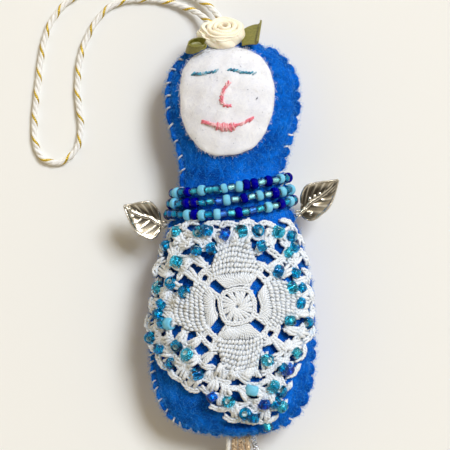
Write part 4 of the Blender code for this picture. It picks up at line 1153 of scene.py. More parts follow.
def thick_sheet(grid, thickness):
    """A closed sheet round a grid of points: its points and faces."""
    rows, columns = grid.shape[:2]
    normal = np.cross(np.gradient(grid, axis=0), np.gradient(grid, axis=1))
    normal /= np.maximum(np.linalg.norm(normal, axis=-1, keepdims=True), 1e-9)
    thick = np.broadcast_to(np.asarray(thickness, float), (rows, columns))[..., None]
    points = np.vstack([(grid + side * normal * thick / 2).reshape(-1, 3) for side in (1, -1)])
    index = np.arange(rows * columns).reshape(rows, columns)
    top = np.stack([index[:-1, :-1], index[1:, :-1], index[1:, 1:], index[:-1, 1:]], -1).reshape(-1, 4)
    border = np.concatenate([index[0, :], index[1:, -1], index[-1, -2::-1], index[-2:0:-1, 0]])
    after = np.roll(border, -1)
    wall = np.stack([border, after, after + rows * columns, border + rows * columns], -1)
    return points, np.vstack([top, top[:, ::-1] + rows * columns, wall]).tolist()


def joined(name, parts, material):
    """One piece from several lots of points and faces."""
    points, faces, base = [], [], 0
    for spots, cells in parts:
        points.append(np.asarray(spots, float))
        faces += [[v + base for v in cell] for cell in cells]
        base += len(spots)
    made = mesh_piece(name, np.vstack(points), faces, [material])
    weld(made, RIBBON_WELD)
    return made


print("rose middle, mm:", ROSE_X, ROSE_Y, round(ROSE_Z, 1))

# %% Ribbon rose
FOLD_TURN = 1.9
FOLD = np.array([
    (-0.55, 0.0), (0.55, 0.0), (0.75, 0.4), (1.0, 0.72), (0.95, 0.88), (0.6, 0.98), (0.0, 1.02),
    (-0.6, 0.97), (-0.95, 0.86), (-0.95, 0.7), (-0.7, 0.4)])


def rose_bud():
    """The folded ribbon wound from the middle out: a soft fold swept along a spiral."""
    turn = np.linspace(0.0, 2 * np.pi * ROSE_TURNS, 300)
    share = turn / turn[-1]
    radius = ROSE_CORE + (ROSE_RADIUS - ROSE_CORE) * share ** 0.9
    radius = radius + 0.16 * np.sin(2.3 * turn + 0.6) * share
    height = 4.5 - 0.7 * share + 0.15 * np.sin(3.1 * turn)
    half = 0.5 + 0.30 * share + 0.06 * np.sin(4.7 * turn + 1.0)
    aside, up = FOLD.T[:, None, :]
    reach = radius[:, None] + half[:, None] * aside + 0.5 * share[:, None] * up
    heading = (turn + FOLD_TURN)[:, None]
    rings = np.stack([ROSE_STRETCH * reach * np.cos(heading), reach * np.sin(heading),
                      height[:, None] * up + 0.05], -1)
    index = np.arange(rings.size // 3).reshape(rings.shape[:2])
    ends = [index[0, ::-1].tolist(), index[-1].tolist()]
    return rose_to_doll(rings).reshape(-1, 3), ring_quads(index).tolist() + ends


def rose_petal(start, end, lip, tall, foot, bulge, wave, seed):
    """An outer petal from one angle to another: a soft skirt from the rose's foot up to a rolled lip."""
    across, up = np.meshgrid(np.linspace(0.0, 1.0, 48), np.linspace(0.0, 1.0, 22), indexing="ij")
    angle = np.radians(start + (end - start) * across)
    taper = np.sin(np.pi * across) ** 0.45
    roll = np.clip((up - 0.72) / 0.28, 0.0, 1.0)
    reach = foot + (lip - foot) * up + bulge * np.sin(np.pi * up) - 0.9 * (1 - taper)
    ripple = np.sin(3.2 * np.pi * across + seed + 2.0 * up)
    reach = reach + wave * ripple * np.sin(np.pi * np.clip(up, 0, 0.7))
    reach = reach + 0.55 * np.sin(np.pi * roll) * taper
    height = tall * (0.55 + 0.45 * taper) * np.minimum(up / 0.8, 1.0) ** 0.85 - 0.45 * roll ** 2 + 0.05
    grid = np.stack([ROSE_STRETCH * reach * np.cos(angle), reach * np.sin(angle), height], -1)
    return thick_sheet(rose_to_doll(grid), RIBBON_THICK)


cream_satin = grouped_material("cream_satin", felted_fibres, {
    "Scale": 1900.0, "Patches": 0.25, "Dark": (0.99, 0.88, 0.69), "Light": (1.0, 0.95, 0.80)},
    roughness=0.42, bump=0.10, depth=0.08, sheen=0.25)
set_inputs(cream_satin.node_tree, cream_satin.node_tree.nodes["Principled BSDF"], {
    "Subsurface Weight": 0.15, "Subsurface Radius": (1.0, 0.55, 0.28), "Subsurface Scale": 0.6 * MM})
ROSE_PETALS = [
    (15, 150, 4.6, 3.4, 5.4, 0.3, 0.15, 0.4), (125, 235, 4.8, 3.5, 6.2, 0.5, 0.3, 1.9),
    (205, 320, 4.9, 3.7, 6.5, 0.5, 0.3, 3.1), (290, 410, 4.8, 3.5, 6.0, 0.4, 0.25, 4.4),
    (172, 244, 5.9, 2.6, 6.9, 0.6, 0.4, 5.2), (228, 300, 5.7, 2.9, 7.2, 0.5, 0.4, 0.9)]
rose_parts = [rose_bud()] + [rose_petal(*petal) for petal in ROSE_PETALS]
settle(joined("satin_rose", rose_parts, cream_satin), "doll", "cream_satin", "ribbon_rose")

# %% Ribbon leaves
olive_satin = grouped_material("olive_satin", felted_fibres, {
    "Scale": 1700.0, "Patches": 0.35, "Dark": (0.11, 0.105, 0.01), "Light": (0.28, 0.26, 0.045)},
    roughness=0.3, bump=0.12, depth=0.08, sheen=0.2)
olive_satin.node_tree.nodes["Principled BSDF"].inputs["Anisotropic"].default_value = 0.5
LOOP_X, LOOP_Y = -8.4, -6.9


def standing_leaf():
    """A ribbon end that stands up beside the rose, its outer edge turned over."""
    across, up = np.meshgrid(np.linspace(0.0, 1.0, 36), np.linspace(0.0, 1.0, 36), indexing="ij")
    top = 4.2 + 3.5 * across ** 0.8
    x = 6.2 + 7.7 * across + 1.0 * up * across - 0.5 * (1 - up) * across
    y = -6.2 + (top + 4.0) * up
    fold = np.clip((across - 0.64) / 0.36, 0.0, 1.0)
    bow = np.sin(np.pi * across * 1.1) * (0.6 + 0.4 * up)
    z = 0.5 + bow + 2.0 * np.sin(0.5 * np.pi * fold) - 0.3 * up
    x = x - 2.5 * fold ** 2
    return thick_sheet(rose_to_doll(np.stack([x, y, z], -1)), RIBBON_THICK)


def curled_leaf():
    """A ribbon end curled into an open loop below the left of the rose."""
    along, across = np.meshgrid(np.linspace(0.0, 1.0, 50), np.linspace(-1.0, 1.0, 22), indexing="ij")
    turn = np.radians(30 + 285 * along)
    reach = 2.3 + 0.7 * np.sin(np.pi * along)
    x = LOOP_X + 1.15 * reach * np.cos(turn) + 0.5 * across
    y = LOOP_Y + 0.85 * reach * np.sin(turn)
    z = 1.2 + 1.7 * across * (0.55 + 0.45 * np.sin(np.pi * along)) + 0.8 * np.cos(turn)
    return thick_sheet(rose_to_doll(np.stack([x, y, z], -1)), RIBBON_THICK)


def leaf_floor():
    """The underside of the curled leaf, which shows dark inside the loop."""
    angle, share = np.meshgrid(np.linspace(0.0, 2 * np.pi, 40), np.linspace(0.05, 1.0, 10), indexing="ij")
    x = LOOP_X + 3.0 * share * np.cos(angle)
    y = LOOP_Y + 2.3 * share * np.sin(angle)
    z = 0.1 + 0.9 * share ** 2
    return thick_sheet(rose_to_doll(np.stack([x, y, z], -1)), FLOOR_THICK)


left_parts = [curled_leaf(), leaf_floor()]
settle(joined("satin_leaf_right", [standing_leaf()], olive_satin), "doll", "olive_satin", "rose_leaf_right")
settle(joined("satin_leaf_left", left_parts, olive_satin), "doll", "olive_satin", "rose_leaf_left")

# %% [markdown]
# ## Crochet doily
# The doily was hooked from cotton in rounds from its middle: a medallion of radiating posts, four fans of
# worked rows, chains that bridge the corners, and rounds of post clusters with a looped edge. Here each
# post, chain stitch and picot is its own length of yarn, laid on the belly, and a worked row is a rope of
# short slanting stitches. That is how lace gets its relief and real holes. A thin net under the yarn joins
# it up; it is coloured darker than the yarn, so where it shows between the strands it is painted shade.

# %% Where the lace lies
LACE_X, LACE_Y = 1.5, -1.3
LACE_LIFT, LACE_DROOP, LACE_TURN, LACE_WANDER = 1.0, 0.8, math.radians(4.0), 0.28
CRUMPLE, CRUMPLE_FROM, CRUMPLE_FULL = 1.3, 11.0, 21.0
LACE_EDGE = np.array([
    (25.0, -2.0), (24.0, 6.0), (23.0, 13.0), (20.7, 21.3), (18.6, 27.0), (12.0, 26.6), (5.0, 27.4),
    (-5.3, 26.4), (-13.1, 27.0), (-20.0, 26.6), (-24.3, 19.7), (-27.2, 6.3), (-28.4, 0.7), (-29.6, -6.0),
    (-30.4, -10.0), (-27.0, -17.0), (-21.5, -22.7), (-16.3, -27.0), (-9.8, -27.9), (-6.8, -32.0),
    (-5.4, -35.6), (0.7, -38.3), (5.0, -38.4), (9.6, -39.4), (11.8, -36.9), (13.8, -33.9), (15.3, -28.2),
    (18.3, -24.0), (20.0, -18.4), (24.0, -12.0)])


def lace_height(x, y):
    """Height of the yarn over the felt; past the body's edge the lace droops."""
    beyond = np.maximum(np.abs(x) - outline_half(y) + SEAM_MARGIN, 0.0)
    folds = np.sin(0.78 * x + 0.35 * y) * np.sin(0.66 * y - 0.52 * x + 1.3)
    folds = folds + 0.5 * np.sin(1.3 * x - 0.9 * y + 0.4)
    away = np.hypot(x - LACE_X, y - LACE_Y)
    outer = np.clip((away - CRUMPLE_FROM) / (CRUMPLE_FULL - CRUMPLE_FROM), 0.0, 1.0)
    crumple = CRUMPLE * outer * np.maximum(folds, 0.0)
    return front_top(x, y) + DRAPE_GAP + LACE_LIFT - LACE_DROOP * beyond + crumple


def drape(spots, lift=0.0):
    """Lay flat spots of the doily on the belly, lifted by so much."""
    spots = np.asarray(spots, float)
    x = LACE_X + spots[..., 0] * math.cos(LACE_TURN) - spots[..., 1] * math.sin(LACE_TURN)
    y = LACE_Y + spots[..., 0] * math.sin(LACE_TURN) + spots[..., 1] * math.cos(LACE_TURN)
    aside = np.sin(0.61 * y + 0.3 * x) + 0.25 * np.sin(1.9 * x - 1.1 * y + 1.0)
    along = np.sin(0.57 * x - 0.4 * y + 2.0) + 0.25 * np.sin(1.7 * y + 1.3 * x)
    x, y = x + LACE_WANDER * aside, y + LACE_WANDER * along
    return np.stack([x, y, lace_height(x, y) + lift], -1)


edge_turn = np.unwrap(np.arctan2(LACE_EDGE[:, 1], LACE_EDGE[:, 0])) - LACE_TURN
edge_reach = np.hypot(LACE_EDGE[:, 0], LACE_EDGE[:, 1])


def lace_reach(angle):
    """How far the doily reaches from its middle at each angle."""
    turned = (np.asarray(angle, float) - edge_turn[0]) % (2 * np.pi) + edge_turn[0]
    turns = np.append(edge_turn, edge_turn[0] + 2 * np.pi)
    return np.interp(turned, turns, np.append(edge_reach, edge_reach[0]))


def polar(reach, angle):
    """Flat spots at a reach and angle from the doily's middle."""
    return np.stack([reach * np.cos(angle), reach * np.sin(angle)], -1)


print("doily reach, mm:", edge_reach.min().round(1), "to", edge_reach.max().round(1))

# %% Yarn stitches
YARN_SIDES = 6
lace = TubeBatch()
lace_edge = TubeBatch()
draw = np.random.default_rng(71)


def yarn(batch, spots, radius, lift=0.0, arch=0.0, steps=6):
    """A length of yarn through flat spots, lifted in its middle by arch."""
    line = flat_line(spots, 0.05)
    line = line[np.linspace(0, len(line) - 1, steps + 1).astype(int)]
    share = np.linspace(0.0, 1.0, steps + 1)
    batch.add(drape(line, lift + arch * np.sin(np.pi * share)), radius, sides=YARN_SIDES)


def chain(batch, spots, stitch=1.5, width=1.1, radius=0.44, lift=0.2):
    """A crochet chain seen from above: a row of nested V stitches along flat spots."""
    line = flat_line(spots)
    count = max(int(round(line_length(line) / stitch)), 1)
    at = np.linspace(0, len(line) - 1, count + 1).astype(int)
    for first, last in zip(at, at[1:]):
        a, b = line[first], line[last]
        ahead = (b - a) / max(np.linalg.norm(b - a), 1e-6)
        across = np.array([-ahead[1], ahead[0]]) * width / 2 * draw.uniform(0.85, 1.15)
        for side in (-1, 1):
            leg = [a - 0.25 * (b - a) + side * across, a + 0.45 * (b - a) + side * across * 0.95,
                   b + 0.12 * (b - a)]
            yarn(batch, leg, radius, lift, arch=0.22, steps=4)


def ridge(batch, spots, pitch=1.1, width=0.9, radius=0.53, lift=0.4, slant=0.8):
    """A worked row seen from above: a rope of short slanting stitches along flat spots."""
    line = flat_line(spots)
    count = max(int(round(line_length(line) / pitch)), 2)
    at = np.linspace(2, len(line) - 3, count).astype(int)
    for middle in at:
        ahead = line[middle + 2] - line[middle - 2]
        ahead = ahead / max(np.linalg.norm(ahead), 1e-6)
        half = 0.5 * width * (slant * ahead + np.array([-ahead[1], ahead[0]])) * draw.uniform(0.85, 1.15)
        stitch = [line[middle] - half, line[middle], line[middle] + half]
        yarn(batch, stitch, radius * draw.uniform(0.9, 1.1), lift, arch=0.35, steps=4)


def cluster(batch, foot, heading, tall, spread, posts=3, radius=0.61):
    """A group of posts worked into one stitch: together at the foot and fanned at the top."""
    ahead, across = directions(heading)
    for post in np.linspace(-1, 1, posts):
        lean = post * spread + draw.normal(0, 0.12)
        top = foot + ahead * tall * (1 - 0.10 * post * post) + across * lean
        middle = 0.5 * (foot + top) + across * lean * 0.25
        top = top + draw.normal(0, 0.22, 2)
        lift = draw.uniform(-0.1, 0.3)
        spots = [foot + across * lean * 0.25, middle, top]
        yarn(batch, spots, radius * draw.uniform(0.85, 1.15), lift, arch=0.55)
        half = 0.5 * radius * (0.5 * ahead + across)
        wrap = [middle - half, middle, middle + half]
        yarn(batch, wrap, 0.6 * radius, lift + 0.75 * radius, arch=0.35, steps=4)
    base = [foot - 0.9 * across, foot, foot + 0.9 * across]
    ridge(batch, base, pitch=0.9, width=0.7, radius=0.42, lift=0.3)


print("yarn stitches ready")

# %% Medallion
MEDALLION_R, MEDALLION_POSTS, MEDALLION_ROUND = 5.2, 13, 4.4


def medallion_reach(angle, share=1.0):
    """The rounded square of the medallion's rim."""
    square = np.abs(np.cos(angle)) ** MEDALLION_ROUND + np.abs(np.sin(angle)) ** MEDALLION_ROUND
    return share * MEDALLION_R * square ** (-1 / MEDALLION_ROUND)


for post in range(MEDALLION_POSTS):
    angle = 2 * np.pi * (post + 0.3) / MEDALLION_POSTS
    for twin in (-0.085, 0.095):
        at = angle + twin * (1 + 0.2 * draw.normal())
        post_line = polar(np.linspace(0.5, medallion_reach(at, 0.94), 5), np.full(5, at))
        yarn(lace, post_line, radius=0.52, lift=0.05, arch=0.4)
rim_angle = np.linspace(0.0, 2 * np.pi, 60)
rim_line = polar(medallion_reach(rim_angle, 1.02), rim_angle)
chain(lace, rim_line, stitch=1.15, width=0.85, radius=0.38, lift=0.35)
print("lengths of yarn:", len(lace.points))

# %% Four fans
FAN_FEET, FAN_TOP, FAN_POSTS, FAN_BOW = (7.8, 7.1, 7.7, 7.0), 11.1, 9, 0.036
FAN_ROWS = [(11.9, 6.8), (13.5, 6.9), (15.1, 6.8), (16.7, 6.5), (18.3, 6.0), (19.9, 5.2)]
FAN_FOOT_HALF, FAN_TOP_HALF, SPIKE_REACH, SPIKE_ASIDE = 3.3, 6.3, 20.9, 4.0


def fan_spots(ahead, across, radial, lateral):
    """Flat spots of a fan's bowed row, from how far out it is and how far aside."""
    lateral = np.asarray(lateral, float)
    return np.outer(radial - FAN_BOW * lateral ** 2, ahead) + np.outer(lateral, across)


for quarter in range(4):
    heading, foot = quarter * np.pi / 2, FAN_FEET[quarter]
    ahead, across = directions(heading)
    for post in np.linspace(-1, 1, FAN_POSTS):
        for twin in (-1, 1):
            lateral = post * np.array([FAN_FOOT_HALF, 0.5 * (FAN_FOOT_HALF + FAN_TOP_HALF), FAN_TOP_HALF])
            lateral = lateral + twin * np.array([0.16, 0.30, 0.42])
            radial = np.array([foot, 0.5 * (foot + FAN_TOP), FAN_TOP])
            yarn(lace, fan_spots(ahead, across, radial, lateral), radius=0.37, lift=0.15, arch=0.6)
    foot_row = fan_spots(ahead, across, foot, np.linspace(-FAN_FOOT_HALF, FAN_FOOT_HALF, 9))
    chain(lace, foot_row, stitch=1.2, width=0.7, radius=0.36, lift=0.1)
    for row, (radial, half) in enumerate(FAN_ROWS):
        lateral = np.linspace(-half, half, 13)
        ridge(lace, fan_spots(ahead, across, radial, lateral if row % 2 else lateral[::-1]))
        between = fan_spots(ahead, across, radial + 0.8, lateral * 0.97)
        chain(lace, between, stitch=1.3, width=0.6, radius=0.36, lift=-0.2)
    for spike in np.linspace(-1, 1, 6):
        spike_foot = SPIKE_REACH * ahead + SPIKE_ASIDE * spike * across
        cluster(lace, spike_foot, heading + 0.5 * spike, tall=3.0, spread=0.55, posts=2, radius=0.5)
print("lengths of yarn:", len(lace.points))

# %% Corner chains
for corner in range(4):
    middle = np.pi / 4 + corner * np.pi / 2
    for reach, half, sag in ((11.6, 0.30, 0.7), (15.0, 0.26, 0.9)):
        turn = np.linspace(-half, half, 7)
        chain(lace, polar(reach + sag * (1 - (turn / half) ** 2), middle + turn), lift=0.15)
    for turn, near, far in ((0.21, 6.4, 11.6), (-0.13, 11.8, 16.2), (0.15, 11.8, 16.2)):
        chain(lace, polar(np.linspace(near, far, 5), np.full(5, middle + turn)), width=1.0, lift=0.1)
print("lengths of yarn:", len(lace.points))

# %% Outer rounds and looped edge
ROUND_DEPTH, ROUND_PITCH, EDGE_DEPTH, OUTER_ROUNDS, ROUND_LEAST = 5.0, 5.6, 5.2, 3, 1.2
ROUND_LEAN, EDGE_LEAN, CLUSTER_SPREAD = 0.42, 0.40, 1.3
around = np.linspace(0.0, 2 * np.pi, 1440)


def round_start(angle):
    """Where the outer rounds begin: past the fans, and closer in between them."""
    return 18.8 + 3.2 * np.cos(4 * angle)


def layer_reach(angle, layer):
    """Where one of the outer rounds begins."""
    return round_start(angle) + layer * ROUND_DEPTH


def edge_start(angle):
    """Where the looped edge begins."""
    return np.maximum(lace_reach(angle) - EDGE_DEPTH, round_start(angle) - 1.0)


def spaced(reach, pitch, shift):
    """Angles that are evenly spaced along a round, from its reach all around."""
    run = run_along(polar(reach, around))
    count = int(round(run[-1] / pitch))
    return np.interp((np.arange(count) + shift) / count * run[-1], run, around)


for layer in range(OUTER_ROUNDS):
    for angle in spaced(layer_reach(around, layer), ROUND_PITCH, 0.5 * (layer % 2)):
        low = layer_reach(angle, layer)
        room = lace_reach(angle) - EDGE_DEPTH + ROUND_LEAST - low
        if room < ROUND_LEAST:
            continue
        tall = min(room, ROUND_DEPTH)
        cluster(lace, polar(low, angle), angle + draw.normal(0, ROUND_LEAN), tall * 0.95, CLUSTER_SPREAD)
        span = 0.5 * ROUND_PITCH / low
        turn = np.linspace(-span, span, 5)
        top = low + tall + 0.25 * np.cos(np.pi * turn / span)
        chain(lace, polar(top, angle + turn), radius=0.46, lift=0.3)

for angle in spaced(edge_start(around), ROUND_PITCH, 0.25):
    low, high = float(edge_start(angle)), float(lace_reach(angle))
    tall = max(high - low - 1.3, 1.5)
    cluster(lace_edge, polar(low, angle), angle + draw.normal(0, EDGE_LEAN), tall, CLUSTER_SPREAD)
    span = 0.52 * ROUND_PITCH / high
    turn = np.linspace(-span, span, 7)
    loop = high - 1.0 + 0.9 * np.cos(0.5 * np.pi * turn / span) + draw.normal(0, 0.15)
    chain(lace_edge, polar(loop, angle + turn), stitch=1.45, width=1.0)
    picot = np.linspace(0.0, 2 * np.pi, 9)
    picot_ring = polar(high - 0.1 + 0.62 * np.cos(picot), angle + (0.55 * np.sin(picot)) / high)
    yarn(lace_edge, picot_ring, radius=0.34, lift=0.25, arch=0.2, steps=9)
print("lengths of yarn:", len(lace.points), "and at the edge:", len(lace_edge.points))

# %% Ground of the lace
GROUND_CELL, GROUND_THICK, GROUND_DROP, GROUND_SHARE, GROUND_CLOSES = 0.5, 0.3, 0.5, 0.35, 6


def covered_cells():
    """Cells of a fine grid that the yarn covers, with pin-holes closed, and the grid's low corner."""
    rings = np.vstack([tube.reshape(-1, YARN_SIDES, 3) for tube in lace.points + lace_edge.points])[..., :2]
    cores = rings.mean(axis=1, keepdims=True)
    cloud = (cores + GROUND_SHARE * (rings - cores)).reshape(-1, 2)
    low = cloud.min(axis=0) - 2 * GROUND_CELL
    cells = np.floor((cloud - low) / GROUND_CELL).astype(int)
    cover = np.zeros(cells.max(axis=0) + 3, bool)
    cover[cells[:, 0], cells[:, 1]] = True
    near = sum(np.roll(cover, (a, b), (0, 1)).astype(int) for a in (-1, 0, 1) for b in (-1, 0, 1))
    cover |= near >= GROUND_CLOSES
    for _ in range(3):
        rising = cover[:-1, :-1] & cover[1:, 1:] & ~cover[1:, :-1] & ~cover[:-1, 1:]
        cover[1:, :-1] |= rising
        falling = ~cover[:-1, :-1] & ~cover[1:, 1:] & cover[1:, :-1] & cover[:-1, 1:]
        cover[:-1, :-1] |= falling
    return cover, low


def lace_ground():
    """A thin closed net under the yarn: both faces of every covered cell, and walls round its holes."""
    cover, low = covered_cells()
    wide, tall = np.array(cover.shape) + 1
    at_x, at_y = np.meshgrid(np.arange(wide), np.arange(tall), indexing="ij")
    x, y = low[0] + at_x * GROUND_CELL, low[1] + at_y * GROUND_CELL
    top = np.stack([x, y, lace_height(x, y) - GROUND_DROP], -1).reshape(-1, 3)
    index = np.arange(wide * tall).reshape(wide, tall)
    i, j = np.nonzero(cover)
    square = np.stack([index[i, j], index[i + 1, j], index[i + 1, j + 1], index[i, j + 1]], 1)
    faces = [square, square[:, ::-1] + wide * tall]
    for side, (a, b) in enumerate(((0, -1), (1, 0), (0, 1), (-1, 0))):
        open_side = ~cover[i + a, j + b]
        first, second = square[open_side, side], square[open_side, (side + 1) % 4]
        faces.append(np.stack([first, first + wide * tall, second + wide * tall, second], 1))
    points = np.vstack([top, top - (0.0, 0.0, GROUND_THICK)])
    faces = np.vstack(faces)
    used, renumbered = np.unique(faces, return_inverse=True)
    return points[used], renumbered.reshape(faces.shape).tolist(), cover.sum() * GROUND_CELL ** 2


# The net under the yarn is coloured darker than the yarn: painted shade where it shows between the strands.
crochet_cotton = grouped_material("crochet_cotton", felted_fibres, {
    "Scale": 1500.0, "Patches": 0.5, "Dark": (0.45, 0.53, 0.67), "Light": (0.78, 0.84, 0.94)},
    roughness=0.9, bump=0.5, depth=0.2, glare=0.2)
# The yarn's groove tone is painted shade between its plies.
cotton_yarn = grouped_material("cotton_yarn", twisted_plies, {
    "Turns": 1.0, "Plies": 2.0, "Groove Shade": (0.57, 0.63, 0.73), "Crest": (0.90, 0.94, 0.98)},
    roughness=0.9, bump=0.5, depth=0.12, glare=0.2)
ground_points, ground_faces, ground_area = lace_ground()
lace_base = mesh_piece("doily_ground", ground_points, ground_faces, [crochet_cotton])
settle(lace_base, "doll", "crochet_cotton", "doily")
lace_rim = settle(lace_edge.piece("doily_edge", [cotton_yarn]), "doll", "crochet_cotton")
lace_yarn = settle(lace.piece("doily_lace", [cotton_yarn]), "doll", "crochet_cotton")

# %% [markdown]
# ## Glass beads
# Seed beads are cut from glass tube and tumbled, so each is a short barrel with a hole. Three strands ring
# the neck in a mixed order of blues, and larger ones are sewn over the lace. A tree puts a barrel on every
# point, with one branch for each glass colour. A bright lining in the hole shows through the tinted glass.
# The glass bends light only a little and has a light coat for its shine, because strong bending in so small
# a mesh looks cracked.

# %% Bead glass
BEAD_TONES, OPAQUE_TONES, SLIM_SHARE = "tlnrscw", "ln", 0.84
BEAD_IOR, COAT_IOR, COAT_SHARE = 1.20, 1.5, 0.25
TINT_SCALE, TINT_MIDDLE, TINT_GAIN, GLASS_GRAIN = 420.0, 0.3, 2.5, 900.0


def build_tumbled_glass():
    """Streaks of tint inside the glass, so that no two beads are quite alike."""
    group, ends_in, ends_out = new_group("tumbled_glass", {"Dark": BLACK, "Light": WHITE})
    place = group.nodes.new("ShaderNodeTexCoord").outputs["Object"]
    tint = noise_node(group, place, TINT_SCALE, detail=2.0, roughness=0.5, distortion=0.8)
    share = gained(group, tint, TINT_MIDDLE, TINT_GAIN)
    grain = noise_node(group, place, GLASS_GRAIN, detail=2.0)
    return put_out(group, ends_in, ends_out, share, ("Dark", "Light"), grain)


tumbled_glass = build_tumbled_glass()


def bead_glass(name, dark, light, clear, glare=0.4):
    """Polished glass, clear or opaque, with a tint that drifts from bead to bead."""
    made = grouped_material(name, tumbled_glass, {"Dark": dark, "Light": light},
                            roughness=0.03, bump=0.02, depth=0.01, glare=glare)
    set_inputs(made.node_tree, made.node_tree.nodes["Principled BSDF"], {
        "Transmission Weight": clear, "IOR": BEAD_IOR, "Coat IOR": COAT_IOR,
        "Coat Weight": COAT_SHARE if clear > 0.5 else 0.0})
    return made


bead_glasses = {
    "t": bead_glass("teal_glass", (0.0, 0.19, 0.44), (0.004, 0.38, 0.64), 0.95),
    "l": bead_glass("sky_glass", (0.14, 0.50, 0.74), (0.22, 0.62, 0.86), 0.0),
    "n": bead_glass("navy_glass", (0.0, 0.0, 0.20), (0.0, 0.0, 0.42), 0.15, 0.12),
    "r": bead_glass("royal_glass", (0.0, 0.07, 0.42), (0.003, 0.20, 0.72), 0.95),
    "s": bead_glass("aqua_glass", (0.01, 0.34, 0.50), (0.10, 0.60, 0.72), 0.97),
    "c": bead_glass("clear_blue_glass", (0.01, 0.12, 0.60), (0.08, 0.28, 0.82), 0.95),
    "w": bead_glass("clear_glass", (0.25, 0.60, 0.66), (0.48, 0.78, 0.80), 1.0)}
bead_lining = grouped_material(
    "bead_lining", tumbled_glass, {"Dark": (0.70, 0.86, 0.80), "Light": (0.96, 1.0, 0.95)},
    roughness=0.5, bump=0.2, depth=0.05, metallic=1.0)
print("bead tones:", {tone: glass.name for tone, glass in bead_glasses.items()})

# %% Bead tree
WALL_SHARE, LINING_SHARE, LINING_LONG = 0.30, 0.43, 1.8
BEAD_SIZES, BEAD_SWING = (0.9, 1.08), (0.16, 0.16, 3.0)


def bead_tree(name, radius, half_length, tones, slim=1.0):
    """A barrel bead on every point, turned along its thread, with one branch for each tone."""
    tree, ends_in, ends_out = geometry_tree(name, [("Seed", "Int", 0)])
    given = ends_in.outputs
    wall = WALL_SHARE * radius
    hole = add_node(tree, "GeometryNodeCurvePrimitiveCircle", {
        "Resolution": 14, "Radius": (radius - wall) * MM})
    section = add_node(tree, "GeometryNodeCurvePrimitiveCircle", {"Resolution": 8, "Radius": wall * MM})
    barrel = add_node(tree, "GeometryNodeTransform", {
        "Geometry": section.outputs[0], "Scale": (1.0, half_length / wall, 1.0)})
    shape = add_node(tree, "GeometryNodeCurveToMesh", {
        "Curve": hole.outputs[0], "Profile Curve": barrel.outputs[0]})
    tone_of = add_node(tree, "ShaderNodeSeparateXYZ", {0: named_vector(tree, "tone")})
    aligned = add_node(tree, "FunctionNodeAlignRotationToVector", {
        "Vector": named_vector(tree, "facing")}, axis="Z")
    swing = random_value(tree, given, tuple(-most for most in BEAD_SWING), BEAD_SWING)
    turned = turned_by(tree, aligned.outputs[0], swing)
    size = random_value(tree, given, *BEAD_SIZES)
    together = tree.nodes.new("GeometryNodeJoinGeometry")
    lining = add_node(tree, "GeometryNodeMeshCylinder", {
        "Vertices": 10, "Radius": LINING_SHARE * radius * MM, "Depth": LINING_LONG * half_length * MM},
        fill_type="NONE")
    linings = add_node(tree, "GeometryNodeInstanceOnPoints", {
        "Points": given[0], "Instance": lining.outputs[0], "Rotation": turned})
    tree.links.new(made_real(tree, linings.outputs[0], bead_lining), together.inputs[0])
    for tone in tones:
        number = float(BEAD_TONES.index(tone))
        chosen = add_node(tree, "FunctionNodeCompare", {
            0: tone_of.outputs[0], 1: number, "Epsilon": 0.1}, operation="EQUAL")
        girth = 1.0 if tone in OPAQUE_TONES else slim
        copies = add_node(tree, "GeometryNodeInstanceOnPoints", {
            "Points": given[0], "Selection": chosen.outputs[0], "Instance": shape.outputs[0],
            "Rotation": turned, "Scale": scaled_by(tree, (girth, girth, 1.0), size)})
        tree.links.new(made_real(tree, copies.outputs[0], bead_glasses[tone]), together.inputs[0])
    tree.links.new(together.outputs[0], ends_out.inputs[0])
    return tree


def beads_on(name, points, facing, tones, tree, seed):
    """Bake beads at points, each facing along its thread and in its tone."""
    marks = np.zeros((len(points), 3))
    marks[:, 0] = [BEAD_TONES.index(tone) for tone in tones]
    spots = point_piece(name + "_points", points, facing=facing, tone=marks)
    made = bake(name, spots, tree, {"Seed": seed})
    bpy.data.objects.remove(spots)
    return made


print("bead tree ready")

# %% Bead strands round the neck
STRAND_BEAD_R, BEAD_HALF, STRAND_OUT, TABLE_CLEAR = 1.82, 1.14, 1.8, 2.05
STRAND_STRAY, STRAND_THREAD_R, REAR_TONES, STRAND_SEED = 0.10, 0.3, "tlnsrt", 90
STRANDS = {
    "necklace_upper": (37.4, 5.3, 0.75, "tltnslsslwlnnwnwltn"),
    "necklace_middle": (33.3, 4.8, 1.1, "tltnntsclwnwlwnltl"),
    "necklace_lower": (28.9, 4.5, 2.05, "trttlnltlcsnscslwntlt")}
strand_tree = bead_tree("strand_beads", STRAND_BEAD_R, BEAD_HALF, BEAD_TONES, SLIM_SHARE)
# The thread's groove tone is painted shade between its plies.
strand_thread = grouped_material("strand_thread", twisted_plies, {
    "Turns": 1.2, "Plies": 2.0, "Groove Shade": (0.03, 0.08, 0.30), "Crest": (0.10, 0.22, 0.55)},
    roughness=0.7, bump=0.4, depth=0.1)


def strand_line(middle, rise, lift):
    """The closed line of a bead strand, from the left round the front to the right and on behind."""
    a = np.linspace(np.pi, -np.pi, 721)
    y = middle + 0.5 * rise * np.cos(a) + lift * np.cos(a) ** 2
    x = (outline_half(y) + STRAND_OUT) * np.cos(a)
    deep = np.where(np.sin(a) > 0, crown(y, FRONT_CROWNS), crown(y, BACK_CROWNS))
    z = SEAM_Z + (deep + FELT + SEAM_GAP / 2 + STRAND_OUT) * np.sin(a)
    return np.column_stack([x, y, z])


def place_on(line, count):
    """Evenly spaced points on a line, and the direction of the line there."""
    run = run_along(line)
    at = (np.arange(count) + 0.5) / count * run[-1]
    points = read_line(line, run, at)
    ahead = read_line(line, run, at + 0.1) - points
    return points, ahead / np.linalg.norm(ahead, axis=1, keepdims=True)


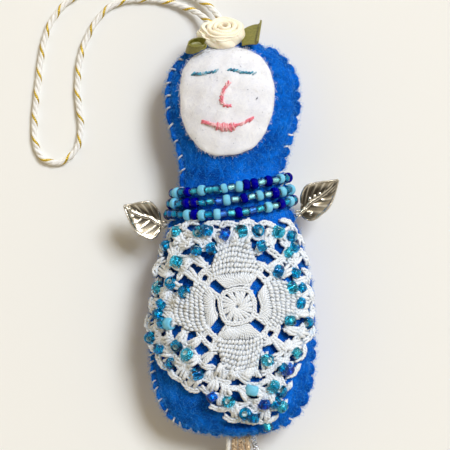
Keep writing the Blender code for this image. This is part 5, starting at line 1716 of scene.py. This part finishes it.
draw = np.random.default_rng(83)
for seed, (node, (middle, rise, lift, order)) in enumerate(STRANDS.items()):
    line = strand_line(middle, rise, lift)
    front_points, front_ahead = place_on(line[:361], len(order))
    rear_points, rear_ahead = place_on(line[360:], len(order) - 1)
    tones = order + "".join(draw.choice(list(REAR_TONES), len(order) - 1))
    points = np.vstack([front_points, rear_points])
    points = points + draw.normal(0, STRAND_STRAY, points.shape)
    points[:, 2] = np.maximum(points[:, 2], TABLE_CLEAR)
    facing = np.vstack([front_ahead, rear_ahead])
    beads = beads_on(node + "_beads", points, facing, tones, strand_tree, STRAND_SEED + seed)
    settle(beads, "doll", "glass_bead", node)
    core = TubeBatch()
    core.add(line[::6], STRAND_THREAD_R, sides=6)
    settle(core.piece(node + "_thread", [strand_thread]), "doll", "white_cord")

# %% Beads sewn over the lace
LACE_BEADS = [
    (-11.2, 23.0), (-2.5, 22.0), (2.8, 23.0), (8.2, 23.2), (15.0, 22.8), (-11.8, 16.7), (-6.8, 17.3),
    (9.5, 18.3), (18.2, 16.0), (-18.5, 13.0), (14.8, 10.0), (20.6, 9.3), (-20.2, 6.0), (-15.8, 3.3),
    (19.5, 4.6), (22.3, -0.6), (-20.8, -7.3), (18.8, -6.3), (-18.2, -14.3), (-14.8, -17.2), (-20.2, -20.3),
    (-11.5, -23.3), (21.2, -16.7), (11.2, -18.7), (16.3, -21.6), (6.2, -28.6), (13.2, -27.4), (-1.2, -32.3),
    (-6.8, -31.0), (10.4, -33.4), (16.2, -34.4), (4.2, -36.6)]
MORE_BEADS = [
    (-18.5, 22.7), (-8.5, 23.3), (19.5, 21.3), (-22.0, 18.0), (20.2, 17.7), (-24.6, 4.4), (22.5, 4.3),
    (-23.5, -1.0), (-24.6, -4.3), (-22.8, -7.0), (24.6, -7.3), (-27.2, -12.3), (-24.2, -15.7), (18.0, -22.0),
    (15.8, -29.3), (13.8, -33.0), (6.8, -38.0), (11.5, -41.3)]
LACE_BEAD_TONES = "srststttssttttstlststtsstlssrrststtttstttttttcttts"
LACE_BEAD_R, LACE_BEAD_HALF, LACE_BEAD_LIFT = 2.1, 1.6, 1.1
UPRIGHT_SHARE, STEEP_LEAN, LEVEL_LEAN = 0.3, (0.8, 1.3), (-0.2, 0.3)
spots = np.array(LACE_BEADS + MORE_BEADS)
heights = lace_height(spots[:, 0], spots[:, 1]) + LACE_BEAD_LIFT
draw = np.random.default_rng(97)
heading = draw.uniform(0, 2 * np.pi, len(spots))
upright = draw.random(len(spots)) < UPRIGHT_SHARE
steep, level = (draw.uniform(*lean, len(spots)) for lean in (STEEP_LEAN, LEVEL_LEAN))
stand = np.where(upright, steep, level)
facing = np.column_stack([np.cos(heading) * np.cos(stand), np.sin(heading) * np.cos(stand), np.sin(stand)])
lace_tree = bead_tree("lace_beads", LACE_BEAD_R, LACE_BEAD_HALF, BEAD_TONES)
bead_spots = np.column_stack([spots, heights])
sewn_beads = beads_on("doily_beads", bead_spots, facing, LACE_BEAD_TONES, lace_tree, 101)
settle(sewn_beads, "doll", "glass_bead", *["doily_bead_%02d" % (k + 1) for k in range(len(LACE_BEADS))])

# %% [markdown]
# ## Leaf charms
# Two cast leaves hang at the sides, each sewn on through the eye of its stalk. A casting keeps a rolled rim,
# a midrib, veins and small dots, and dark patina stays in its hollows. The relief is in the mesh, and a mark
# on every point says how proud it stands, which the metal uses to go from dark to bright. The shoulder
# towards the beads is trimmed, so that a leaf can flap past them.

# %% Cast metal
PATINA_SCALE, PATINA_GAIN, CAST_GRAIN = 520.0, 0.7, 1400.0


def build_cast_patina():
    """Dark patina in the hollows and bright metal on the ridges, from the relief marked on the mesh."""
    group, ends_in, ends_out = new_group("cast_patina", {"Dark": BLACK, "Light": WHITE})
    relief = add_node(group, "ShaderNodeAttribute", {}, attribute_name="relief").outputs["Fac"]
    place = group.nodes.new("ShaderNodeTexCoord").outputs["Object"]
    mottle = gained(group, noise_node(group, place, PATINA_SCALE, detail=4.0), 0.5, PATINA_GAIN)
    share = clamped(group, math_node(group, "ADD", relief, mottle))
    grain = noise_node(group, place, CAST_GRAIN, detail=3.0)
    return put_out(group, ends_in, ends_out, share, ("Dark", "Light"), grain)


cast_patina = build_cast_patina()
cast_silver = grouped_material("cast_silver", cast_patina, {
    "Dark": (0.31, 0.26, 0.18), "Light": (0.66, 0.60, 0.49)},
    roughness=0.25, bump=0.06, depth=0.05, metallic=1.0)
print("metal:", cast_silver.name)

# %% Shape of a cast leaf
CHARM_EYE_R, CHARM_HOLE_R, CHARM_THICK = 1.2, 0.65, 0.55
CHARM_FOOT, CHARM_REACH, CHARM_BOW = 0.35, 1.9, 1.45
LEAF_ROUND, LEAF_POINT = 0.38, 1.0
LEAF_SUM = LEAF_ROUND + LEAF_POINT
LEAF_WIDEST = (LEAF_ROUND ** LEAF_ROUND * LEAF_POINT ** LEAF_POINT) / LEAF_SUM ** LEAF_SUM
RIB_HALF, VEIN_HALF, DOT_R, EYE_PROUD = 0.42, 0.17, 0.34, 0.7
RIB_RISE, RIM_RISE, VEIN_RISE, DOT_RISE = 0.45, 0.22, 0.11, 0.34
CHARMS = {
    "left": {"pivot": (-20.979, 25.2, SEAM_Z), "side": -1, "length": 14.2, "half": 5.8, "turn": 168.0,
             "lower": 1.1, "rise": 1.7, "shoulder": 0.8, "curl": 1.6, "bend": -1.6,
             "dots": ((0.88, 0.1), (0.84, -0.25))},
    "right": {"pivot": (19.928, 28.8, SEAM_Z), "side": 1, "length": 17.0, "half": 5.4, "turn": 29.0,
              "lower": 0.95, "rise": 1.7, "shoulder": 1.7, "curl": 2.2, "bend": 1.6,
              "dots": ((0.28, 0.22), (0.40, 0.20), (0.52, 0.18), (0.16, -0.55))}}


def mark_relief(piece, proud):
    """Keep on every point how proud it stands."""
    layer = piece.data.attributes.new("relief", "FLOAT", "POINT")
    layer.data.foreach_set("value", np.asarray(proud, np.float32))
    return piece


def leaf_grid(charm):
    """Grid of a cast leaf from its stalk to its tip, and how proud each point stands."""
    share, t = np.meshgrid(np.linspace(0.0, 1.0, 72), np.linspace(-1.0, 1.0, 53), indexing="ij")
    half = charm["half"] * (share + 0.004) ** LEAF_ROUND * (1 - share) ** LEAF_POINT / LEAF_WIDEST + 0.12
    eye = np.array(charm["pivot"]) + (charm["side"] * CHARM_REACH, 0.0, 0.0)
    ahead, aside = directions(math.radians(charm["turn"]))
    start = CHARM_EYE_R - 0.3
    out = start + (charm["length"] - start) * share + 0.6 * half * np.abs(t) * (1 - share) * share
    out = out + charm["shoulder"] * np.maximum(t * charm["side"], 0.0) * (1 - share) ** 3
    half = half * np.where(t * charm["side"] < 0, charm["lower"], 2.0 - charm["lower"])
    settled = np.clip(share / 0.35, 0.0, 1.0)
    sway = charm["bend"] * (share ** 3 - 0.4 * np.sin(np.pi * share))
    sway = sway + charm["side"] * charm["rise"] * settled ** 2 * (3 - 2 * settled)
    flat = eye[:2] + out[..., None] * ahead + (half * t + sway)[..., None] * aside
    midrib = np.exp(-(np.abs(t) * half / RIB_HALF) ** 2) * (1 - 0.4 * share)
    rim = np.clip((np.abs(t) - 0.86) / 0.14, 0.0, 1.0)
    vein_at = (5.2 * share - 1.7 * np.abs(t) ** 1.3 + 0.2) % 1.0
    vein = np.exp(-((vein_at - 0.5) / VEIN_HALF) ** 2) * np.clip(np.abs(t) / 0.15, 0, 1) * (1 - rim)
    vein = vein * np.sin(np.pi * share) ** 0.4
    dots = np.zeros_like(t)
    for at, across in charm["dots"]:
        away = np.hypot((share - at) * charm["length"], (t - across) * half)
        dots = np.maximum(dots, np.exp(-(away / DOT_R) ** 2))
    ripple = 0.35 * np.sin(2.3 * np.pi * share + 1.2 * t)
    cup = 1.5 * t * t * np.sin(np.pi * share) + charm["curl"] * share ** 2.2 + ripple * np.abs(t)
    proud = np.maximum.reduce([midrib, 0.9 * rim, 0.75 * vein, dots])
    height = eye[2] + cup + RIB_RISE * midrib + RIM_RISE * rim + VEIN_RISE * vein + DOT_RISE * dots
    return np.concatenate([flat, height[..., None]], -1), proud


def cast_leaf(name, charm):
    """The leaf itself, with its relief."""
    grid, proud = leaf_grid(charm)
    points, faces = thick_sheet(grid, CHARM_THICK)
    return mark_relief(mesh_piece(name, points, faces, [cast_silver]), np.tile(proud.reshape(-1), 2))


def charm_eye(name, charm):
    """The ring at the end of the stalk, and a short stalk into the leaf."""
    eye = np.array(charm["pivot"]) + (charm["side"] * CHARM_REACH, 0.0, 0.0)
    turn = np.linspace(0.0, 2 * np.pi, 25)
    wall = 0.5 * (CHARM_EYE_R - CHARM_HOLE_R)
    ring = np.column_stack([np.cos(turn), np.sin(turn), 0 * turn]) * (CHARM_HOLE_R + wall) + eye
    tubes = TubeBatch()
    tubes.add(ring, wall * 1.15, sides=8)
    ahead = np.append(directions(math.radians(charm["turn"]))[0], 0.0)
    stalk = eye + np.outer(np.linspace(CHARM_HOLE_R + wall, CHARM_EYE_R + 2.2, 6), ahead) + (0.0, 0.0, 0.25)
    tubes.add(stalk, np.linspace(0.45, 0.6, 6), sides=8)
    made = tubes.piece(name, [cast_silver])
    return mark_relief(made, np.full(len(made.data.vertices), EYE_PROUD))


print("leaf lengths, mm:", {side: charm["length"] for side, charm in CHARMS.items()})

# %% Charms and their ties
TIE_REACH, TIE_PITCH, TIE_R = 0.13, 1.2, 0.16

for side, charm in CHARMS.items():
    body = side + "_charm"
    settle(cast_leaf(side + "_cast_leaf", charm), body, "cast_silver", side + "_leaf_charm")
    settle(charm_eye(side + "_charm_eye", charm), body, "cast_silver")
    a = np.linspace(0.0, np.pi, 29)
    out = CHARM_FOOT + (CHARM_REACH - CHARM_FOOT) * np.sin(a)
    up = CHARM_FOOT * np.cos(a) + CHARM_BOW * np.sin(2 * a)
    loop = np.array(charm["pivot"]) + np.column_stack([charm["side"] * out, 0 * a, up])
    tie = TubeBatch()
    for ply in range(2):
        tie.add(wound(loop, TIE_REACH, TIE_PITCH, np.pi * ply), TIE_R, sides=6)
    settle(tie.piece(side + "_charm_tie", [cotton_ply]), body, "white_cord", side + "_charm_thread")

# %% [markdown]
# ## Tassel
# Five short strands are sewn into the bottom seam and droop to the table: a white twisted cord, three of
# crinkled gold tinsel and one of silver. The photograph cuts them off, so their length is a guess. Each is
# plied from finer strands, and the tinsel's crinkle is in its line, so that it glitters by its shape.

# %% Tassel strands
TASSEL_EDGE_Y = BELLY_Y + (BASE_Y - BELLY_Y) * END_SHARE
TASSEL_GAP, TASSEL_REACH, TASSEL_TABLE_GAP, TASSEL_R, TASSEL_FAN = 0.6, 26.0, 0.1, 0.8, 1.4
PLIED_CORD, CRINKLED, TASSEL_LOWEST = (3, 0.5, 5.5, 1.0), (5, 0.7, 9.0, 0.55), 0.42
CRINKLES = {0: (0.30, 1.5), 2: (0.20, 1.9)}
TASSEL = {
    "tassel_white_strand": (-1.2, -3.4, "white"), "tassel_gold_strand_left": (0.8, -1.2, "gold"),
    "tassel_gold_strand_middle": (2.8, 0.6, "gold"), "tassel_gold_strand_right": (4.8, 3.0, "gold"),
    "tassel_silver_strand": (6.8, 10.5, "silver")}
# The groove tones of the tinsels are painted shade between their plies.
pale_gold = grouped_material("pale_gold_tinsel", twisted_plies, {
    "Turns": 0.9, "Plies": 2.0, "Groove Shade": (0.46, 0.28, 0.13), "Crest": (0.95, 0.76, 0.52)},
    roughness=0.28, bump=0.9, depth=0.2, metallic=0.6)
silver_tinsel = grouped_material("silver_tinsel", twisted_plies, {
    "Turns": 0.9, "Plies": 2.0, "Groove Shade": (0.20, 0.20, 0.22), "Crest": (0.90, 0.90, 0.90)},
    roughness=0.2, bump=0.9, depth=0.2, metallic=0.9)
tassel_looks = {"white": (cotton_ply, "white_cord"), "gold": (pale_gold, "gold_tinsel"),
                "silver": (silver_tinsel, "silver_tinsel")}


def tassel_line(start, spread):
    """The droop of one strand from the seam to the table."""
    share = np.linspace(0.0, 1.0, 110)
    y = TASSEL_EDGE_Y - TASSEL_GAP - TASSEL_REACH * share
    fall = ease(0.0, 1.0, (share - 0.06) / 0.6)
    z = SEAM_Z + (TASSEL_R + TASSEL_TABLE_GAP - SEAM_Z) * fall
    return np.column_stack([start + spread * share ** TASSEL_FAN, y, z])


draw = np.random.default_rng(113)
for node, (start, spread, tone) in TASSEL.items():
    line = tassel_line(start, spread)
    look, slot = tassel_looks[tone]
    strand = TubeBatch()
    plies, winding, pitch, flat = PLIED_CORD if tone == "white" else CRINKLED
    for ply in range(plies):
        ply_line = wound(line, winding * TASSEL_R, pitch, 2 * np.pi * ply / plies)
        if tone != "white":
            run = np.arange(len(line)) / len(line) * line_length(line)
            for axis, (most, wave) in CRINKLES.items():
                ply_line[:, axis] += most * np.sin(2 * np.pi * run / wave + draw.uniform(0, 6.3))
        ply_line[:, 2] = np.maximum(ply_line[:, 2], TASSEL_LOWEST)
        strand.add(ply_line, 0.5 * TASSEL_R, sides=6, flat=flat)
    piece = settle(strand.piece(node + "_plies", [look]), "tassel", slot, node)
    print(node, "length, mm:", round(line_length(line), 1))

# %% [markdown]
# ## Stuffing
# Loose polyester fibre fills the doll. It is closed in, so a lumpy closed mass a little smaller than the
# felt stands for it, with the same mottled fibres as the felt.

# %% Fibre stuffing
STUFFING_SHARE, STUFFING_RISE, STUFFING_LUMPS, STUFFING_FILL = 0.9, 0.8, 0.5, 0.85


def stuffing_rings():
    """Rings of the stuffing, from the middle of its front to the middle of its back."""
    middle, rim = spine[::5], edge[::5]
    rings = []
    for side, crowns, shares in ((1, FRONT_CROWNS, np.linspace(0.0, STUFFING_SHARE, 18)),
                                 (-1, BACK_CROWNS, np.linspace(STUFFING_SHARE, 0.0, 18)[1:])):
        for share in shares:
            flat = middle + (rim - middle) * share
            inner = np.minimum(np.abs(flat[:, 0]) / (STUFFING_SHARE * outline_half(flat[:, 1])), 1.0)
            rise = STUFFING_RISE * crown(flat[:, 1], crowns) * np.maximum(1 - inner ** 2, 0.0) ** DOME_POWER
            spots = np.column_stack([flat, np.full(len(flat), 50.0 * side)])
            bump = STUFFING_LUMPS * lumps(spots) * (inner < 1.0)
            rings.append(np.column_stack([flat, SEAM_Z + side * np.maximum(rise + bump, 0.0)]))
    return rings


white_filling = grouped_material("white_filling", felted_fibres, {
    "Scale": 420.0, "Patches": 0.8, "Dark": (0.70, 0.70, 0.70), "Light": (0.92, 0.92, 0.91)},
    roughness=0.95, bump=0.8, depth=0.8, sheen=0.1)
filling = settle(ring_mesh("fibre_filling", stuffing_rings(), white_filling), "doll", "fibre", "stuffing")
